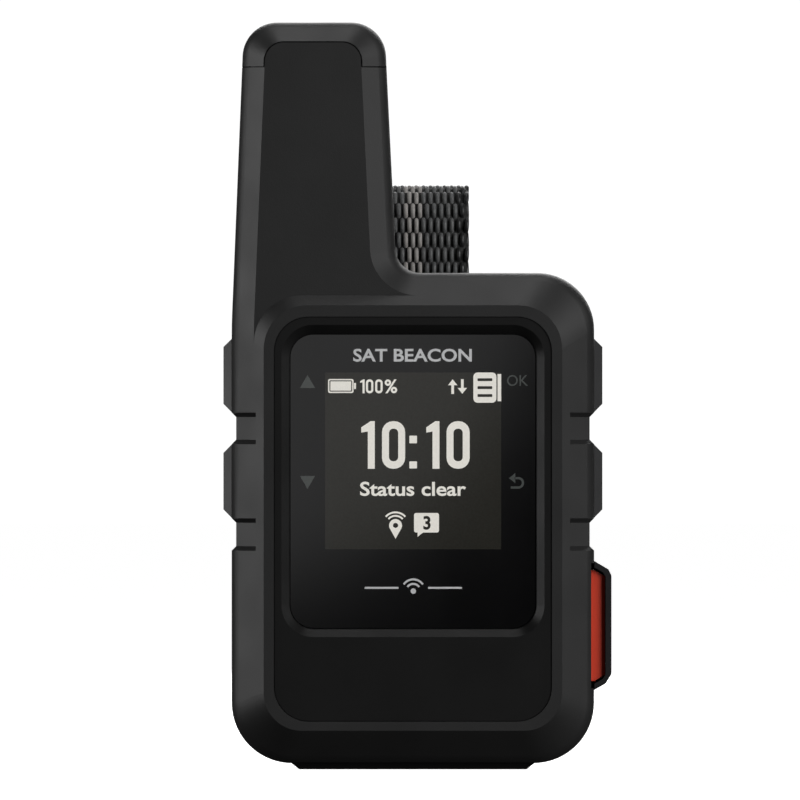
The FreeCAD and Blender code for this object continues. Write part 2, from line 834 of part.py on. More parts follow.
weather_flange = pad("weather_flange", "YZ", "-1 * half_width", "weather_thickness - half_width",
                     rectangle("-1 * weather_half_depth", "usb_height - weather_half_height",
                               "weather_half_depth", "usb_height + weather_half_height", "weather_corner"))
weather_barrel = cylinder("weather_barrel", "Z", ("weather_hinge_radius - half_width", "weather_hinge_y"),
                          "weather_hinge_radius", "usb_height - weather_hinge_half",
                          "usb_height + weather_hinge_half")
weather_web = box("weather_web", ("-1 * half_width", "2 * weather_hinge_radius - half_width"),
                  ("weather_half_depth - pin_gap", "weather_hinge_y"),
                  ("usb_height - weather_hinge_half", "usb_height + weather_hinge_half"))
weather_plug = box("weather_plug", ("weather_thickness - half_width - pin_gap", "weather_plug_x"),
                   ("-1 * weather_plug_half_width", "weather_plug_half_width"),
                   ("usb_height - weather_plug_half_length", "usb_height + weather_plug_half_length"))
part("usb_cap", fuse("usb_cap", weather_flange, weather_barrel, weather_web, weather_plug))

# ---------------------------------------------------------------- foot

FOOT_KEY_TOP = "body_bottom + jacket_wall"


def foot_rectangle(shrink):
    return rectangle(f"{shrink} - foot_half_width", f"{shrink} - foot_half_depth",
                     f"foot_half_width - {shrink}", f"foot_half_depth - {shrink}")


foot_sole = loft("foot_sole", [
    free_sketch("foot_low", "XY", "0", foot_rectangle("foot_chamfer")),
    free_sketch("foot_high", "XY", "body_bottom", foot_rectangle("0")),
])


def foot_key(name, gap, low):
    """The part of the foot that passes through the jacket to the case."""
    return box(name, (f"-1 * foot_key_half_width - {gap}", f"foot_key_half_width + {gap}"),
               (f"-1 * foot_key_half_depth - {gap}", f"foot_key_half_depth + {gap}"), (low, FOOT_KEY_TOP))


part("base_foot", fuse("base_foot", foot_sole, foot_key("foot_tongue", "0", "body_bottom")))

# ---------------------------------------------------------------- jacket and antenna cap

window = block("window_half_width", "window_bottom", "window_top", "window_corner", "window_corner")
window_opening = pad("window_opening", "XZ", "-1 * far", "panel_face + 2 * case_wall", window)
spine_opening = pad("spine_opening", "XZ", "half_depth - 2 * jacket_wall", "far",
                    block("( spine_half_width + clearance )", "spine_bottom - clearance",
                          "spine_top + clearance", "spine_corner", "spine_corner"))


def waist(name, side, low, high):
    """The body at a channel: its full section above and below, sunk within, with sloping ends."""
    sections = []
    levels = ((f"{low} - groove_depth", "0"), (low, "groove_depth"),
              (high, "groove_depth"), (f"{high} + groove_depth", "0"))
    for i, (height, depth) in enumerate(levels, start=1):
        edge = f"({depth} * {CORNER_SHARE:.6f})"
        sections.append(free_sketch(f"{name}_{i}", "XY", height, flipped(side, [
            ("groove_root", f"{depth} - half_depth", None),
            (f"crest_half_width - {edge}", f"{depth} - half_depth", None),
            (f"half_width - {depth}", f"{SLOPE} - half_depth + {edge}", None),
            (f"half_width - {depth}", f"half_depth - back_inset - {edge}", None),
            (f"half_width - back_inset - {edge}", f"half_depth - {depth}", None),
            ("groove_root", f"half_depth - {depth}", None)])))
    return loft(name, sections)


def side_grooves():
    """Solids over the channels between the side keys, less the sunk body within them."""
    grooves = []
    for word, side in SIDES:
        for level, low, high in (("upper", "lower_key_high", "upper_key_low"),
                                 ("lower", "lowest_groove", "lower_key_low")):
            name = f"{word}_{level}_groove"
            slab = box(name + "_slab", mirrored(side, "groove_reach", "far"), ("-1 * far", "far"),
                       (f"{low} - groove_depth", f"{high} + groove_depth"))
            grooves.append(cut(name, slab, waist(name + "_waist", side, low, high)))
    return grooves



def jacket_pockets():
    """Openings in the jacket for the keys, the socket, the hinge ears and the foot."""
    inside = "half_width - 2 * jacket_wall"
    pockets = []
    for name, (side, level) in KEYS.items():
        pockets.append(box(name + "_pocket", mirrored(side, inside, "far"),
                           ("key_front - clearance", "key_back + clearance"),
                           (f"{level}_key_low - pin_gap", f"{level}_key_high + clearance")))
    pockets.append(pad("power_pocket", "XY", "body_top - 2 * jacket_wall", "2 * far",
                       power_outline("clearance")))
    pockets.append(box("sos_pocket", (inside, "far"), ("sos_front - clearance", "sos_back + clearance"),
                       (f"{SOS_LOW} - clearance", f"{SOS_HIGH} + clearance")))
    pockets.append(box("sos_relief", ("sos_relief", "far"), ("-1 * far", "sos_back + clearance"),
                       ("sos_centre - sos_relief_half", "sos_centre + sos_relief_half")))
    pockets.append(box("weather_pocket", ("-1 * far", f"-1 * ({inside})"),
                       ("-1 * weather_half_depth - clearance", "weather_hinge_y + 3 * clearance"),
                       ("usb_height - weather_half_height - clearance",
                        "usb_height + weather_half_height + clearance")))
    pockets.append(foot_key("foot_slot", "clearance", "0"))
    return pockets + lugs("lug_slot", "clearance")


def cap_region(name, gap):
    """Everything above the antenna's seam, except what lies behind its flat face."""
    above = box(name + "_above", ("-1 * far", "0"), ("-1 * far", "far"), (f"cap_seam + {gap}", "3 * far"))
    face = pad(name + "_face", "XZ", "-1 * far", "facet_setback - half_depth + 2 * jacket_wall",
               facet_ring(f"( -1 * {gap} )"))
    return cut(name, above, face)


skin = cut("skin", rounded, core)
trimmed_skin = cut("trimmed_skin", skin, window_opening, spine_opening, *side_grooves(),
                   *jacket_pockets())
part("rubber_jacket", cut("rubber_jacket", trimmed_skin, cap_region("seam_region", "0")))
part("antenna_cap", common("antenna_cap", skin, cap_region("cap_region", "seam_gap")))

# ---------------------------------------------------------------- case halves

BOSSES = [(f"{sign} * boss_x", height) for sign in (-1, 1) for height in ("boss_low", "boss_high")]


def at_bosses(name, radius, low, high):
    """One round bar at each of the four case screws."""
    return [cylinder(f"{name}_{i}", "Y", place, radius, low, high) for i, place in enumerate(BOSSES, start=1)]


def stem_holes():
    """Where the key stems pass through the case wall."""
    wall = ("half_width - 3 * case_wall", "far")
    holes = [cylinder(name + "_hole", "X", ("stem_y", f"( {level}_key_low + {level}_key_high ) / 2"),
                      "stem_radius + stem_gap", *mirrored(side, *wall))
             for name, (side, level) in KEYS.items()]
    holes.append(cylinder("power_hole", "Z", POWER_PLACE, "stem_radius + stem_gap",
                          "body_top - 3 * case_wall", "2 * far"))
    holes.append(cylinder("sos_hole", "X", ("sos_stem_y", "sos_centre"), "sos_stem_radius + stem_gap", *wall))
    return holes


case_shell = cut("case_shell", core, cavity)
front_half = common("front_half", case_shell,
                    box("front_space", ("-1 * far", "far"), ("-1 * far", "parting"), ("0", "3 * far")))
rear_half = common("rear_half", case_shell,
                   box("rear_space", ("-1 * far", "far"), ("parting", "far"), ("0", "3 * far")))

seal = pad("case_seal", "XZ", "parting - seal_half", "parting + seal_half",
           silhouette("seal_outer"), holes=[silhouette("seal_inner")])
part("case_seal", seal)

panel = pad("panel", "XZ", "panel_face", "panel_face + 2 * case_wall",
            block("( window_half_width - stem_gap )", "window_bottom + stem_gap", "window_top - stem_gap",
                  "window_corner - stem_gap", "window_corner - stem_gap"))
display_frame = pad("display_frame", "XZ", "seat_face - pin_gap", "frame_back",
                    block("frame_half_width", "frame_bottom", "frame_top", "frame_corner", "frame_corner"))
front_boss_bars = fuse("front_boss_bars", *at_bosses("front_boss", "boss_radius", "seat_face", "parting"))
front_bosses = common("front_bosses", core, front_boss_bars)


def lens_block(gap):
    return block(f"( lens_half_width + {gap} )", f"lens_bottom - {gap}", f"lens_top + {gap}",
                 f"lens_corner + {gap}", f"lens_corner + {gap}")


bezel = loft("bezel", [
    free_sketch("bezel_rim", "XZ", "panel_face", block("bezel_half_width", "bezel_bottom", "bezel_top",
                                                       "bezel_corner", "bezel_corner")),
    free_sketch("bezel_foot", "XZ", "panel_face + bezel_fall", lens_block("stem_gap")),
])
lens_seat = pad("lens_seat", "XZ", "panel_face + bezel_fall", "seat_face", lens_block("stem_gap"))
display_hole = pad("display_hole", "XZ", "seat_face - stem_gap", "0",
                   block("( display_half_width + display_gap )", "display_bottom - display_gap",
                         "display_top + display_gap", "display_corner", "display_corner"))
usb_hole = pad("usb_hole", "YZ", "-1 * far", "usb_mouth + 3 * case_wall", usb_outline("stem_gap"))
front_solid = fuse("front_solid", front_half, panel, display_frame, front_bosses)
part("front_case", cut("front_case", front_solid, bezel, lens_seat, display_hole, usb_hole, seal,
                       *stem_holes(), *at_bosses("thread", "screw_bore", "screw_tip - stem_gap", "far")))

SCREW_AXIS = ("0", "screw_height")
spine = pad("spine", "XZ", "half_depth - 2 * jacket_wall", "half_depth",
            block("spine_half_width", "spine_bottom", "spine_top", "spine_corner", "spine_corner"))
rear_boss_bars = fuse("rear_boss_bars", *at_bosses("rear_boss", "boss_radius", "parting", "screw_head_top"))
rear_bosses = common("rear_bosses", core, rear_boss_bars)
insert_boss = cylinder("insert_boss", "Y", SCREW_AXIS, "insert_boss", "insert_front - pin_gap",
                       "half_depth - jacket_wall")
insert_hole = cylinder("insert_hole", "Y", SCREW_AXIS, "insert_radius", "0", "far")
pin_holes = cylinder("pin_holes", "Z", HINGE_PLACE, "pin_radius", "0", "far")
rear_solid = fuse("rear_solid", rear_half, spine, rear_bosses, insert_boss, *lugs("lug", "0"))
part("rear_case", cut("rear_case", rear_solid, insert_hole, pin_holes, seal,
                      *at_bosses("pass", "screw_pass", "0", "far"),
                      *at_bosses("head_pocket", "screw_head_pocket", "screw_seat", "far")))

insert_bore = cylinder("insert_bore", "Y", SCREW_AXIS, "insert_bore", "0", "far")
insert_bar = cylinder("insert_bar", "Y", SCREW_AXIS, "insert_radius", "insert_front", "half_depth")
part("mount_insert", cut("mount_insert", insert_bar, insert_bore))

screw_shafts = at_bosses("shaft", "screw_shaft", "screw_tip", "screw_seat + stem_gap")
screw_heads = at_bosses("head", "screw_head", "screw_seat", "screw_head_top")
screw_sockets = at_bosses("socket", "socket_radius", "screw_head_top - socket_depth", "far")
screws = [cut(f"screw_{i}", fuse(f"screw_{i}_bar", shaft, head), hole)
          for i, (shaft, head, hole) in enumerate(zip(screw_shafts, screw_heads, screw_sockets), start=1)]
part("case_screws", group("case_screws", *screws))

# ---------------------------------------------------------------- lens, display and boards

part("lens_glass", pad("lens_glass", "XZ", "lens_face", "lens_face + lens_thickness", lens_block("0")))
display_window = block("( display_half_width + 1.5 * display_gap )", "display_bottom - 1.5 * display_gap",
                       "display_top + 1.5 * display_gap", "display_corner", "display_corner")
part("lens_adhesive", pad("lens_adhesive", "XZ", "lens_face + lens_thickness", "seat_face",
                          lens_block("( -1 * stem_gap )"), holes=[display_window]))
part("display_module", pad("display_module", "XZ", "display_front", "display_back",
                           block("display_half_width", "display_bottom", "display_top",
                                 "display_corner", "display_corner")))
part("display_backlight", pad("display_backlight", "XZ", "backlight_front", "backlight_back",
                              block("( display_half_width - backlight_margin / 2 )",
                                    "display_bottom + backlight_margin", "display_top - backlight_margin",
                                    "display_corner", "display_corner")))
FLEX_WIDTH = ("-1 * flex_half_width", "flex_half_width")
flex_drop = box("flex_drop", FLEX_WIDTH, ("display_back", "display_back + flex_thickness"),
                ("flex_low", "flex_high"))
flex_run = box("flex_run", FLEX_WIDTH, ("display_back", "board_back - board_thickness"),
               ("flex_low", "flex_low + flex_thickness"))
part("display_flex", fuse("display_flex", flex_drop, flex_run))

board_plate = pad("board_plate", "XZ", "board_back - board_thickness", "board_back",
                  block("board_half_width", "board_bottom", "board_top", "board_corner", "board_corner"))
part("main_board", cut("main_board", board_plate, *at_bosses("notch", "boss_notch", "-1 * far", "far")))


def shield_can(name, left, right, low, high, board_face, top):
    """A folded sheet cover, open towards the board."""
    wall = "shield_sheet"
    can = box(name + "_can", (left, right), tuple(sorted((board_face, top), key=value)), (low, high))
    inside_top = f"{top} - {wall}" if value(top) > value(board_face) else f"{top} + {wall}"
    hollow = box(name + "_hollow", (f"{left} + {wall}", f"{right} - {wall}"),
                 tuple(sorted((board_face, inside_top), key=value)), (f"{low} + {wall}", f"{high} - {wall}"))
    return part(name, cut(name, can, hollow))


shield_can("modem_shield", "-1 * modem_half_width", "modem_half_width", "modem_low", "modem_high",
           "board_back", "board_back + modem_height")
shield_can("rf_shield", "radio_left", "radio_right", "radio_low", "radio_high",
           "board_back - board_thickness", "board_back - board_thickness - radio_height")
part("sounder", cylinder("sounder", "Y", ("sounder_x", "sounder_height"), "sounder_radius",
                         "board_back - board_thickness - sounder_depth", "board_back - board_thickness"))
part("gps_antenna", box("gps_antenna", ("patch_left", "patch_right"),
                        ("board_back", "board_back + patch_depth"), ("patch_low", "patch_high")))
part("power_switch", box("power_switch", ("power_x - power_switch_half", "power_x + power_switch_half"),
                         ("board_back", "power_switch_back"), ("power_switch_low", "power_switch_high")))
part("sos_switch", box("sos_switch", ("sos_switch_inner", "sos_switch_outer"),
                       ("board_back", "sos_switch_back"),
                       ("sos_centre - sos_switch_half", "sos_centre + sos_switch_half")))

switches = []
for word, side in SIDES:
    part(f"{word}_key_board", box(f"{word}_key_board", mirrored(side, "key_board_inner", "key_board_outer"),
                                  ("-1 * key_board_half_depth", "key_board_half_depth"),
                                  ("key_board_low", "key_board_high")))
    for level in ("upper", "lower"):
        middle = f"( {level}_key_low + {level}_key_high ) / 2"
        switches.append(box(f"{word}_{level}_switch", mirrored(side, "key_board_outer", "switch_face"),
                            ("stem_y - switch_half", "stem_y + switch_half"),
                            (f"{middle} - switch_half", f"{middle} + switch_half")))
part("key_switches", group("key_switches", *switches))

part("battery_cell", pad("battery_cell", "XZ", "battery_front", "battery_front + battery_thickness",
                         block("battery_half_width", "battery_low", "battery_high",
                               "battery_corner", "battery_corner")))
part("battery_pad", box("battery_pad", ("-1 * pad_half_width", "pad_half_width"),
                        ("battery_front + battery_thickness", "half_depth - jacket_wall - case_wall"),
                        ("pad_low", "pad_high")))

# ---------------------------------------------------------------- main antenna

FORMER_PLACE = ("former_x", "former_y")
former_bar = cylinder("former_bar", "Z", FORMER_PLACE, "former_radius", "former_low", "former_high")
former_bore = cylinder("former_hollow", "Z", FORMER_PLACE, "former_bore", "0", "3 * far")
part("antenna_former", cut("antenna_former", former_bar, former_bore))
turns = doc.addObject("Part::Helix", "helix_line")
for path, size in (("Radius", "helix_radius"), ("Pitch", "helix_pitch"), ("Height", "helix_height"),
                   ("SegmentLength", "helix_segment"), ("Placement.Base.x", "former_x"),
                   ("Placement.Base.y", "former_y"), ("Placement.Base.z", "helix_low")):
    bind(turns, path, size)
strip_section = free_sketch("strip_section", "XZ", "former_y", rectangle(
    "former_x + helix_radius - strip_thickness / 2", "helix_low - strip_width / 2",
    "former_x + helix_radius + strip_thickness / 2", "helix_low + strip_width / 2"))
helix_strip = doc.addObject("Part::Sweep", "antenna_helix")
helix_strip.Sections = [strip_section]
helix_strip.Spine = turns
helix_strip.Solid = True
helix_strip.Frenet = True
part("antenna_helix", helix_strip)
part("antenna_feed", box("antenna_feed", ("former_x - feed_half_width", "former_x + feed_half_width"),
                         ("board_back", "feed_back"), ("feed_low", "former_low")))

# ---------------------------------------------------------------- spine adapter, thumbscrew and ring

plate = pad("plate", "XZ", "plate_front", "plate_back",
            block("plate_half_width", "plate_low", "plate_high", "plate_corner", "plate_corner / 5"))
rails = [box(f"{word}_rail", mirrored(side, "rail_inner", "plate_half_width"), ("plate_front", "bar_back"),
             ("plate_high - plate_corner", "rail_high")) for word, side in SIDES]
bar = box("strap_bar", ("-1 * rail_inner - stem_gap", "rail_inner + stem_gap"), ("bar_front", "bar_back"),
          ("bar_low", "rail_high"))
plate_hole = cylinder("plate_hole", "Y", SCREW_AXIS, "plate_hole", "0", "far")
part("spine_adapter", cut("spine_adapter", fuse("plate_solid", plate, bar, *rails), plate_hole))

shaft = cylinder("thumb_shaft", "Y", SCREW_AXIS, "screw_radius", "screw_end", "knob_front + stem_gap")
knob = cylinder("knob", "Y", SCREW_AXIS, "knob_radius", "knob_front", "knob_back")
ring_boss = box("ring_boss", ("-1 * ring_boss_half_width", "ring_boss_half_width"),
                ("knob_back - stem_gap", "ring_boss_back"),
                ("screw_height - ring_boss_half_height", "screw_height + ring_boss_half_height"))
ring_hole = cylinder("ring_hole", "X", ("ring_y", "screw_height"), "ring_wire + ring_gap", "-1 * far", "far")
part("thumb_screw", cut("thumb_screw", fuse("thumb_solid", shaft, knob, ring_boss), ring_hole))

ring_path = free_sketch("ring_path", "XZ", "ring_y", [
    ("-1 * ring_half_width", "screw_height", "ring_top_corner"),
    ("-1 * ring_half_width", "screw_height - ring_reach", "ring_low_corner"),
    ("ring_half_width", "screw_height - ring_reach", "ring_low_corner"),
    ("ring_half_width", "screw_height", "ring_top_corner")])
part("screw_ring", rod("screw_ring", ring_path, "YZ", "0", "ring_y", "screw_height", "ring_wire"))

# ---------------------------------------------------------------- strap and carabiner

HALF = "strap_thickness / 2"
strap_outer = rectangle(f"strap_front - {HALF}", "strap_low", f"strap_back + {HALF}", "strap_top",
                        "strap_outer_corner")
strap_inner = rectangle(f"strap_front + {HALF}", "strap_low + strap_thickness", f"strap_back - {HALF}",
                        "strap_top - strap_thickness", "strap_inner_corner")
part("strap", pad("strap", "YZ", "-1 * strap_width / 2", "strap_width / 2", strap_outer, holes=[strap_inner]))

frame_path = free_sketch("frame_path", "XZ", "rod_y", [
    ("rod_half_width", "gate_pin_height", None),
    ("rod_half_width", "rod_bottom", "rod_bottom_corner"),
    ("-1 * rod_half_width", "rod_bottom", "rod_bottom_corner"),
    ("-1 * rod_half_width", "rod_top", "rod_top_corner"),
    ("rod_half_width", "rod_top", "rod_top_corner"),
    ("rod_half_width", "rod_end_height", None)], closed=False)
frame_rod = rod("frame_rod", frame_path, "XY", "gate_pin_height", "rod_half_width", "rod_y", "rod_radius")
PIN_PLACE = ("rod_half_width", "gate_pin_height")
GATE_PLACE = ("rod_half_width", "rod_y")
cheek_disc = cylinder("cheek_disc", "Y", PIN_PLACE, "rod_radius", "0", "far")
cheek_bar = cylinder("cheek_bar", "Z", GATE_PLACE, "rod_radius", "gate_pin_height - 1", "far * 2")
cheeks = common("cheeks", cheek_disc, cheek_bar)
fork_slot = box("fork_slot", ("0", "far"), ("rod_y - cheek_gap", "rod_y + cheek_gap"),
                ("gate_pin_height - tongue_radius - 4 * stem_gap", "gate_pin_height + 2 * rod_radius"))
fork_bore = cylinder("fork_bore", "Y", PIN_PLACE, "gate_pin_radius", "0", "far")
part("carabiner_frame", cut("carabiner_frame", fuse("frame_solid", frame_rod, cheeks), fork_slot, fork_bore))

gate_bar = cylinder("gate_bar", "Z", GATE_PLACE, "gate_radius", "gate_shoulder", "gate_top")
TONGUE = ("rod_y - tongue_half", "rod_y + tongue_half")
tongue_disc = cylinder("tongue_disc", "Y", PIN_PLACE, "tongue_radius", *TONGUE)
tongue_web = box("tongue_web", ("rod_half_width - tongue_radius", "rod_half_width + tongue_radius"), TONGUE,
                 ("gate_pin_height", "gate_shoulder + stem_gap"))
gate_bore = cylinder("gate_bore", "Y", PIN_PLACE, "gate_pin_radius + gate_running_gap", "0", "far")
gate_solid = fuse("gate_solid", gate_bar, tongue_disc, tongue_web)
part("carabiner_gate", cut("carabiner_gate", gate_solid, gate_bore))
part("gate_pin", cylinder("gate_pin", "Y", PIN_PLACE, "gate_pin_radius",
                          "rod_y - rod_radius + gate_running_gap", "rod_y + rod_radius - gate_running_gap"))

# ---------------------------------------------------------------- checks and files

doc.recompute()
for obj in doc.Objects:
    if "Invalid" in obj.State or "Error" in obj.State:
        raise RuntimeError(f"{obj.Name} failed: {obj.State}")
for node, obj in parts.items():
    if obj.Shape.isNull() or not obj.Shape.isValid() or not obj.Shape.Solids:
        raise RuntimeError(f"{node} has no valid solid")

os.makedirs("parts", exist_ok=True)
for node, obj in parts.items():
    obj.Shape.exportStep(f"parts/{node}.step")
    solids = len(obj.Shape.Solids)
    print(f"{node}: {solids} solid{'s' if solids > 1 else ''}, {obj.Shape.Volume:.1f} mm3")
print(len(parts), "nodes")
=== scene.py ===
# %% [markdown]
# # A pocket satellite beacon
# The hard parts come finished, as a fixed frame of CAD nodes in metres. This script gives every node
# its finish, and adds what a solid modeller does badly: woven webbing, a knurled grip, printing and a
# lit display. X runs to the right seen from the front, the front faces -Y, and Z is up.

# %% Load the frame
import json
import math

import bpy
import numpy as np
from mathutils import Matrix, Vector


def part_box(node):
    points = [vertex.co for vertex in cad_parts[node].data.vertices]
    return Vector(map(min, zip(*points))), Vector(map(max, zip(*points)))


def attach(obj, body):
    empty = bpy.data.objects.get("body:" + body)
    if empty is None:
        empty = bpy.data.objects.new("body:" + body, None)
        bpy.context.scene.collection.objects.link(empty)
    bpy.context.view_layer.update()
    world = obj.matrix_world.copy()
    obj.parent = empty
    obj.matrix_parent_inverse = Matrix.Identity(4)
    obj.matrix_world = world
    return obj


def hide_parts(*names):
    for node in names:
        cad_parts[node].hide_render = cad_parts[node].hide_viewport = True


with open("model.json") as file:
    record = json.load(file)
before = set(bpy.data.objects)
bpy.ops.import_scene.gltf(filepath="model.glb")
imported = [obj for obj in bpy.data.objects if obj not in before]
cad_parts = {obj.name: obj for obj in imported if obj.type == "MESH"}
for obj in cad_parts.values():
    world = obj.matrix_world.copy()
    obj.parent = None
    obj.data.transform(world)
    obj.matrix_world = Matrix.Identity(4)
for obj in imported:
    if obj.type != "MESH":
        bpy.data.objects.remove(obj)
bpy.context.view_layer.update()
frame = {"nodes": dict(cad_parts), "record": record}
nodes = frame["nodes"]
record = frame["record"]
MM = 0.001

# %% [markdown]
# Two small helpers make every material. The first turns a colour as a painter writes it, in sRGB hex,
# into the linear numbers that a shader works with. The second adds one node: a value fills a socket,
# and another node's socket is linked to it. Constant numbers go straight on the shader's own sockets.

# %% Colour and node helpers
def linear(code):
    """An sRGB hex colour as linear RGBA: (c + 0.055) / 1.055 to the power 2.4, or c / 12.92 when dark."""
    channels = [int(code[i:i + 2], 16) / 255 for i in (1, 3, 5)]
    return (*[c / 12.92 if c <= 0.04045 else ((c + 0.055) / 1.055) ** 2.4 for c in channels], 1.0)


def add(material, kind, inputs=None, **settings):
    """Adds one shader node with its settings; a socket given as an input is linked, a value is set."""
    node = material.node_tree.nodes.new("ShaderNode" + kind)
    for name, value in settings.items():
        setattr(node, name, value)
    for name, value in (inputs or {}).items():
        if isinstance(value, bpy.types.NodeSocket):
            material.node_tree.links.new(value, node.inputs[name])
        else:
            node.inputs[name].default_value = value
    return node


def new_material(name, **surface):
    """A Principled surface named for the real material. Returns it with its shader node."""
    material = bpy.data.materials.new(name)
    material.use_nodes = True
    material.node_tree.nodes.clear()
    shader = add(material, "BsdfPrincipled", surface)
    add(material, "OutputMaterial", {"Surface": shader.outputs["BSDF"]})
    return material, shader


def per_mm(size):
    """The scale that makes a pattern's features about this many millimetres across."""
    return 1.0 / (size * MM)


def speckle(material, size, detail=2.0, stretch=(1, 1, 1), coordinate="Object"):
    """Noise whose grains are size mm across, drawn out along an axis where stretch is small."""
    place = add(material, "TexCoord").outputs[coordinate]
    if stretch != (1, 1, 1):
        place = add(material, "Mapping", {"Vector": place, "Scale": stretch}).outputs["Vector"]
    noise = add(material, "TexNoise", {"Vector": place, "Scale": per_mm(size), "Detail": detail})
    return noise.outputs["Fac"]


def between(material, factor, low, high, start=0.3, end=0.7):
    """A number that runs from low to high while the factor runs from start to end."""
    ramp = add(material, "MapRange", {"Value": factor, "From Min": start, "From Max": end,
                                      "To Min": low, "To Max": high})
    return ramp.outputs["Result"]


def blend_colours(material, factor, first, second, start=0.3, end=0.7):
    """The first colour where the factor is low, the second where it is high."""
    mix = add(material, "Mix", {"Factor": between(material, factor, 0.0, 1.0, start, end)}, data_type="RGBA")
    mix.inputs["A"].default_value = linear(first)
    mix.inputs["B"].default_value = linear(second)
    return mix.outputs["Result"]


def relief(material, shader, height, depth, strength=1.0):
    """Bump: the height's full range is depth mm deep."""
    bump = add(material, "Bump", {"Height": height, "Strength": strength, "Distance": depth * MM})
    material.node_tree.links.new(bump.outputs["Normal"], shader.inputs["Normal"])


def wire(material, shader, socket, output):
    material.node_tree.links.new(output, shader.inputs[socket])

# %% [markdown]
# ## Finishes
# Nearly everything outside is black, so the finishes differ in how they shine, not in colour. The
# jacket and the keys are a matte elastomer moulded in a spark-eroded tool, which leaves a fine, even
# grain. The real grain is about 0.05 mm, too fine to show, so it is drawn at 0.16 mm. Noise on Object
# coordinates does it well, because a moulded grain runs on over every face and round every edge.

# %% Moulded elastomer: jacket and keys
def moulded(name, colour, worn, roughness, grain, depth, **surface):
    """A moulded polymer: an even eroded grain, and cloudy patches where hands have rubbed it."""
    material, shader = new_material(name, **surface)
    clouds = speckle(material, 9.0, 3.0)
    fine = speckle(material, grain, 1.0)
    wire(material, shader, "Base Color", blend_colours(material, clouds, colour, worn))
    wire(material, shader, "Roughness", between(material, clouds, roughness - 0.03, roughness + 0.04))
    relief(material, shader, fine, depth)
    return material


jacket_elastomer = moulded("elastomer_eroded_matte", "#1f1f1f", "#222222", 0.50, 0.16, 0.010,
                           **{"IOR": 1.5, "Specular IOR Level": 0.50})
key_elastomer = moulded("elastomer_key_satin", "#232324", "#262627", 0.48, 0.13, 0.006,
                        **{"IOR": 1.5, "Specular IOR Level": 0.50})

# %% [markdown]
# The front panel, the case and the foot are glass-filled nylon from a smoother tool, so they are a
# shade darker and glossier than the jacket. The adapter and the key cover are acetal, harder and
# sleeker still. They use the same maker with other numbers.

# %% Moulded hard plastics
panel_nylon = moulded("nylon_moulded_satin", "#151515", "#171717", 0.40, 0.20, 0.005,
                      **{"IOR": 1.53, "Specular IOR Level": 0.22})
cover_acetal = moulded("acetal_moulded_black", "#1d1d1f", "#222224", 0.36, 0.25, 0.004, **{"IOR": 1.48})
adapter_nylon = moulded("nylon_moulded_adapter", "#262627", "#2b2b2c", 0.50, 0.22, 0.008, **{"IOR": 1.53})
key_red = moulded("abs_moulded_signal_red", "#ef4a30", "#e5432a", 0.38, 0.30, 0.004, **{"IOR": 1.54})
former_nylon = moulded("nylon_natural_former", "#c9c6b8", "#bdb9a8", 0.5, 0.3, 0.004, **{"IOR": 1.53})
component_epoxy = moulded("epoxy_moulded_component", "#1c1c1d", "#242425", 0.6, 0.12, 0.01, **{"IOR": 1.55})
seal_silicone = moulded("silicone_moulded_seal", "#3a3a3c", "#434346", 0.55, 0.3, 0.004, **{"IOR": 1.41})
pad_foam = moulded("foam_closed_cell", "#2e2e2e", "#3a3a3a", 0.9, 0.4, 0.08, **{"IOR": 1.45})

# %% [markdown]
# The lens is chemically hardened glass with black printed behind it. Polished glass with an etched
# anti-glare face gives a broad, soft reflection, so it is black with a low roughness and no grain. A
# faint smear of skin oil, a few millimetres wide, keeps the reflection from being perfect.

# %% Lens and display layers
def printed_glass(name, colour, second, size, **surface):
    """Colour seen under etched glass: the print is matte, and the coat is the glass's own shine."""
    material, shader = new_material(name, **{"IOR": 1.5, "Specular IOR Level": 0.5, **surface})
    smear = speckle(material, 7.0, 2.0, (1, 1, 0.5))
    wire(material, shader, "Base Color", blend_colours(material, speckle(material, size, 1.0), colour, second))
    wire(material, shader, "Roughness", between(material, smear, 0.11, 0.125))
    return material


lens_glass = printed_glass("glass_etched_over_black", "#040405", "#060607", 2.0)
display_film = printed_glass("display_reflective_film", "#2a2924", "#2e2d28", 0.25)
lit_pixels = printed_glass("display_pixels_pale", "#d8d5ce", "#d0cdc6", 0.25,
                           **{"Emission Color": linear("#e0ddd4"), "Emission Strength": 0.45})
grey_print = printed_glass("screen_print_grey", "#555957", "#515553", 0.4)
pale_print = printed_glass("screen_print_pale", "#e4e5e6", "#dcddde", 0.4)

# %% [markdown]
# Metals. The thumbscrew, pins and the folding ring are turned or drawn stainless steel, whose fine
# tool marks run round or along the piece. The carabiner is forged aluminium, tumbled and anodised dark
# grey, so it has a soft satin shine and slight cloudiness. A metal keeps the default index, and its
# colour is its reflection.

# %% Metals
def metal(name, colour, tint, roughness, grain, depth, stretch=(1, 1, 1)):
    """Bare or anodised metal: fine marks drawn out one way, in the tint and the roughness."""
    material, shader = new_material(name, Metallic=1.0)
    marks = speckle(material, grain, 2.0, stretch)
    wire(material, shader, "Base Color", blend_colours(material, marks, colour, tint))
    wire(material, shader, "Roughness", between(material, marks, roughness - 0.05, roughness + 0.08))
    relief(material, shader, marks, depth)
    return material


turned_steel = metal("stainless_steel_turned", "#c9cacc", "#b7b8ba", 0.26, 0.12, 0.002, (0.08, 1, 0.08))
tinned_sheet = metal("tinplate_rolled", "#d2d2cd", "#c4c4be", 0.32, 0.5, 0.002, (1, 1, 0.1))
turned_brass = metal("brass_turned", "#d9bd78", "#c9aa62", 0.28, 0.12, 0.002, (0.1, 1, 0.1))
plated_copper = metal("copper_plated_strip", "#d6946c", "#c58058", 0.34, 0.2, 0.002)
anodised = metal("aluminium_anodised_tumbled", "#56585b", "#4c4e51", 0.36, 0.35, 0.003)

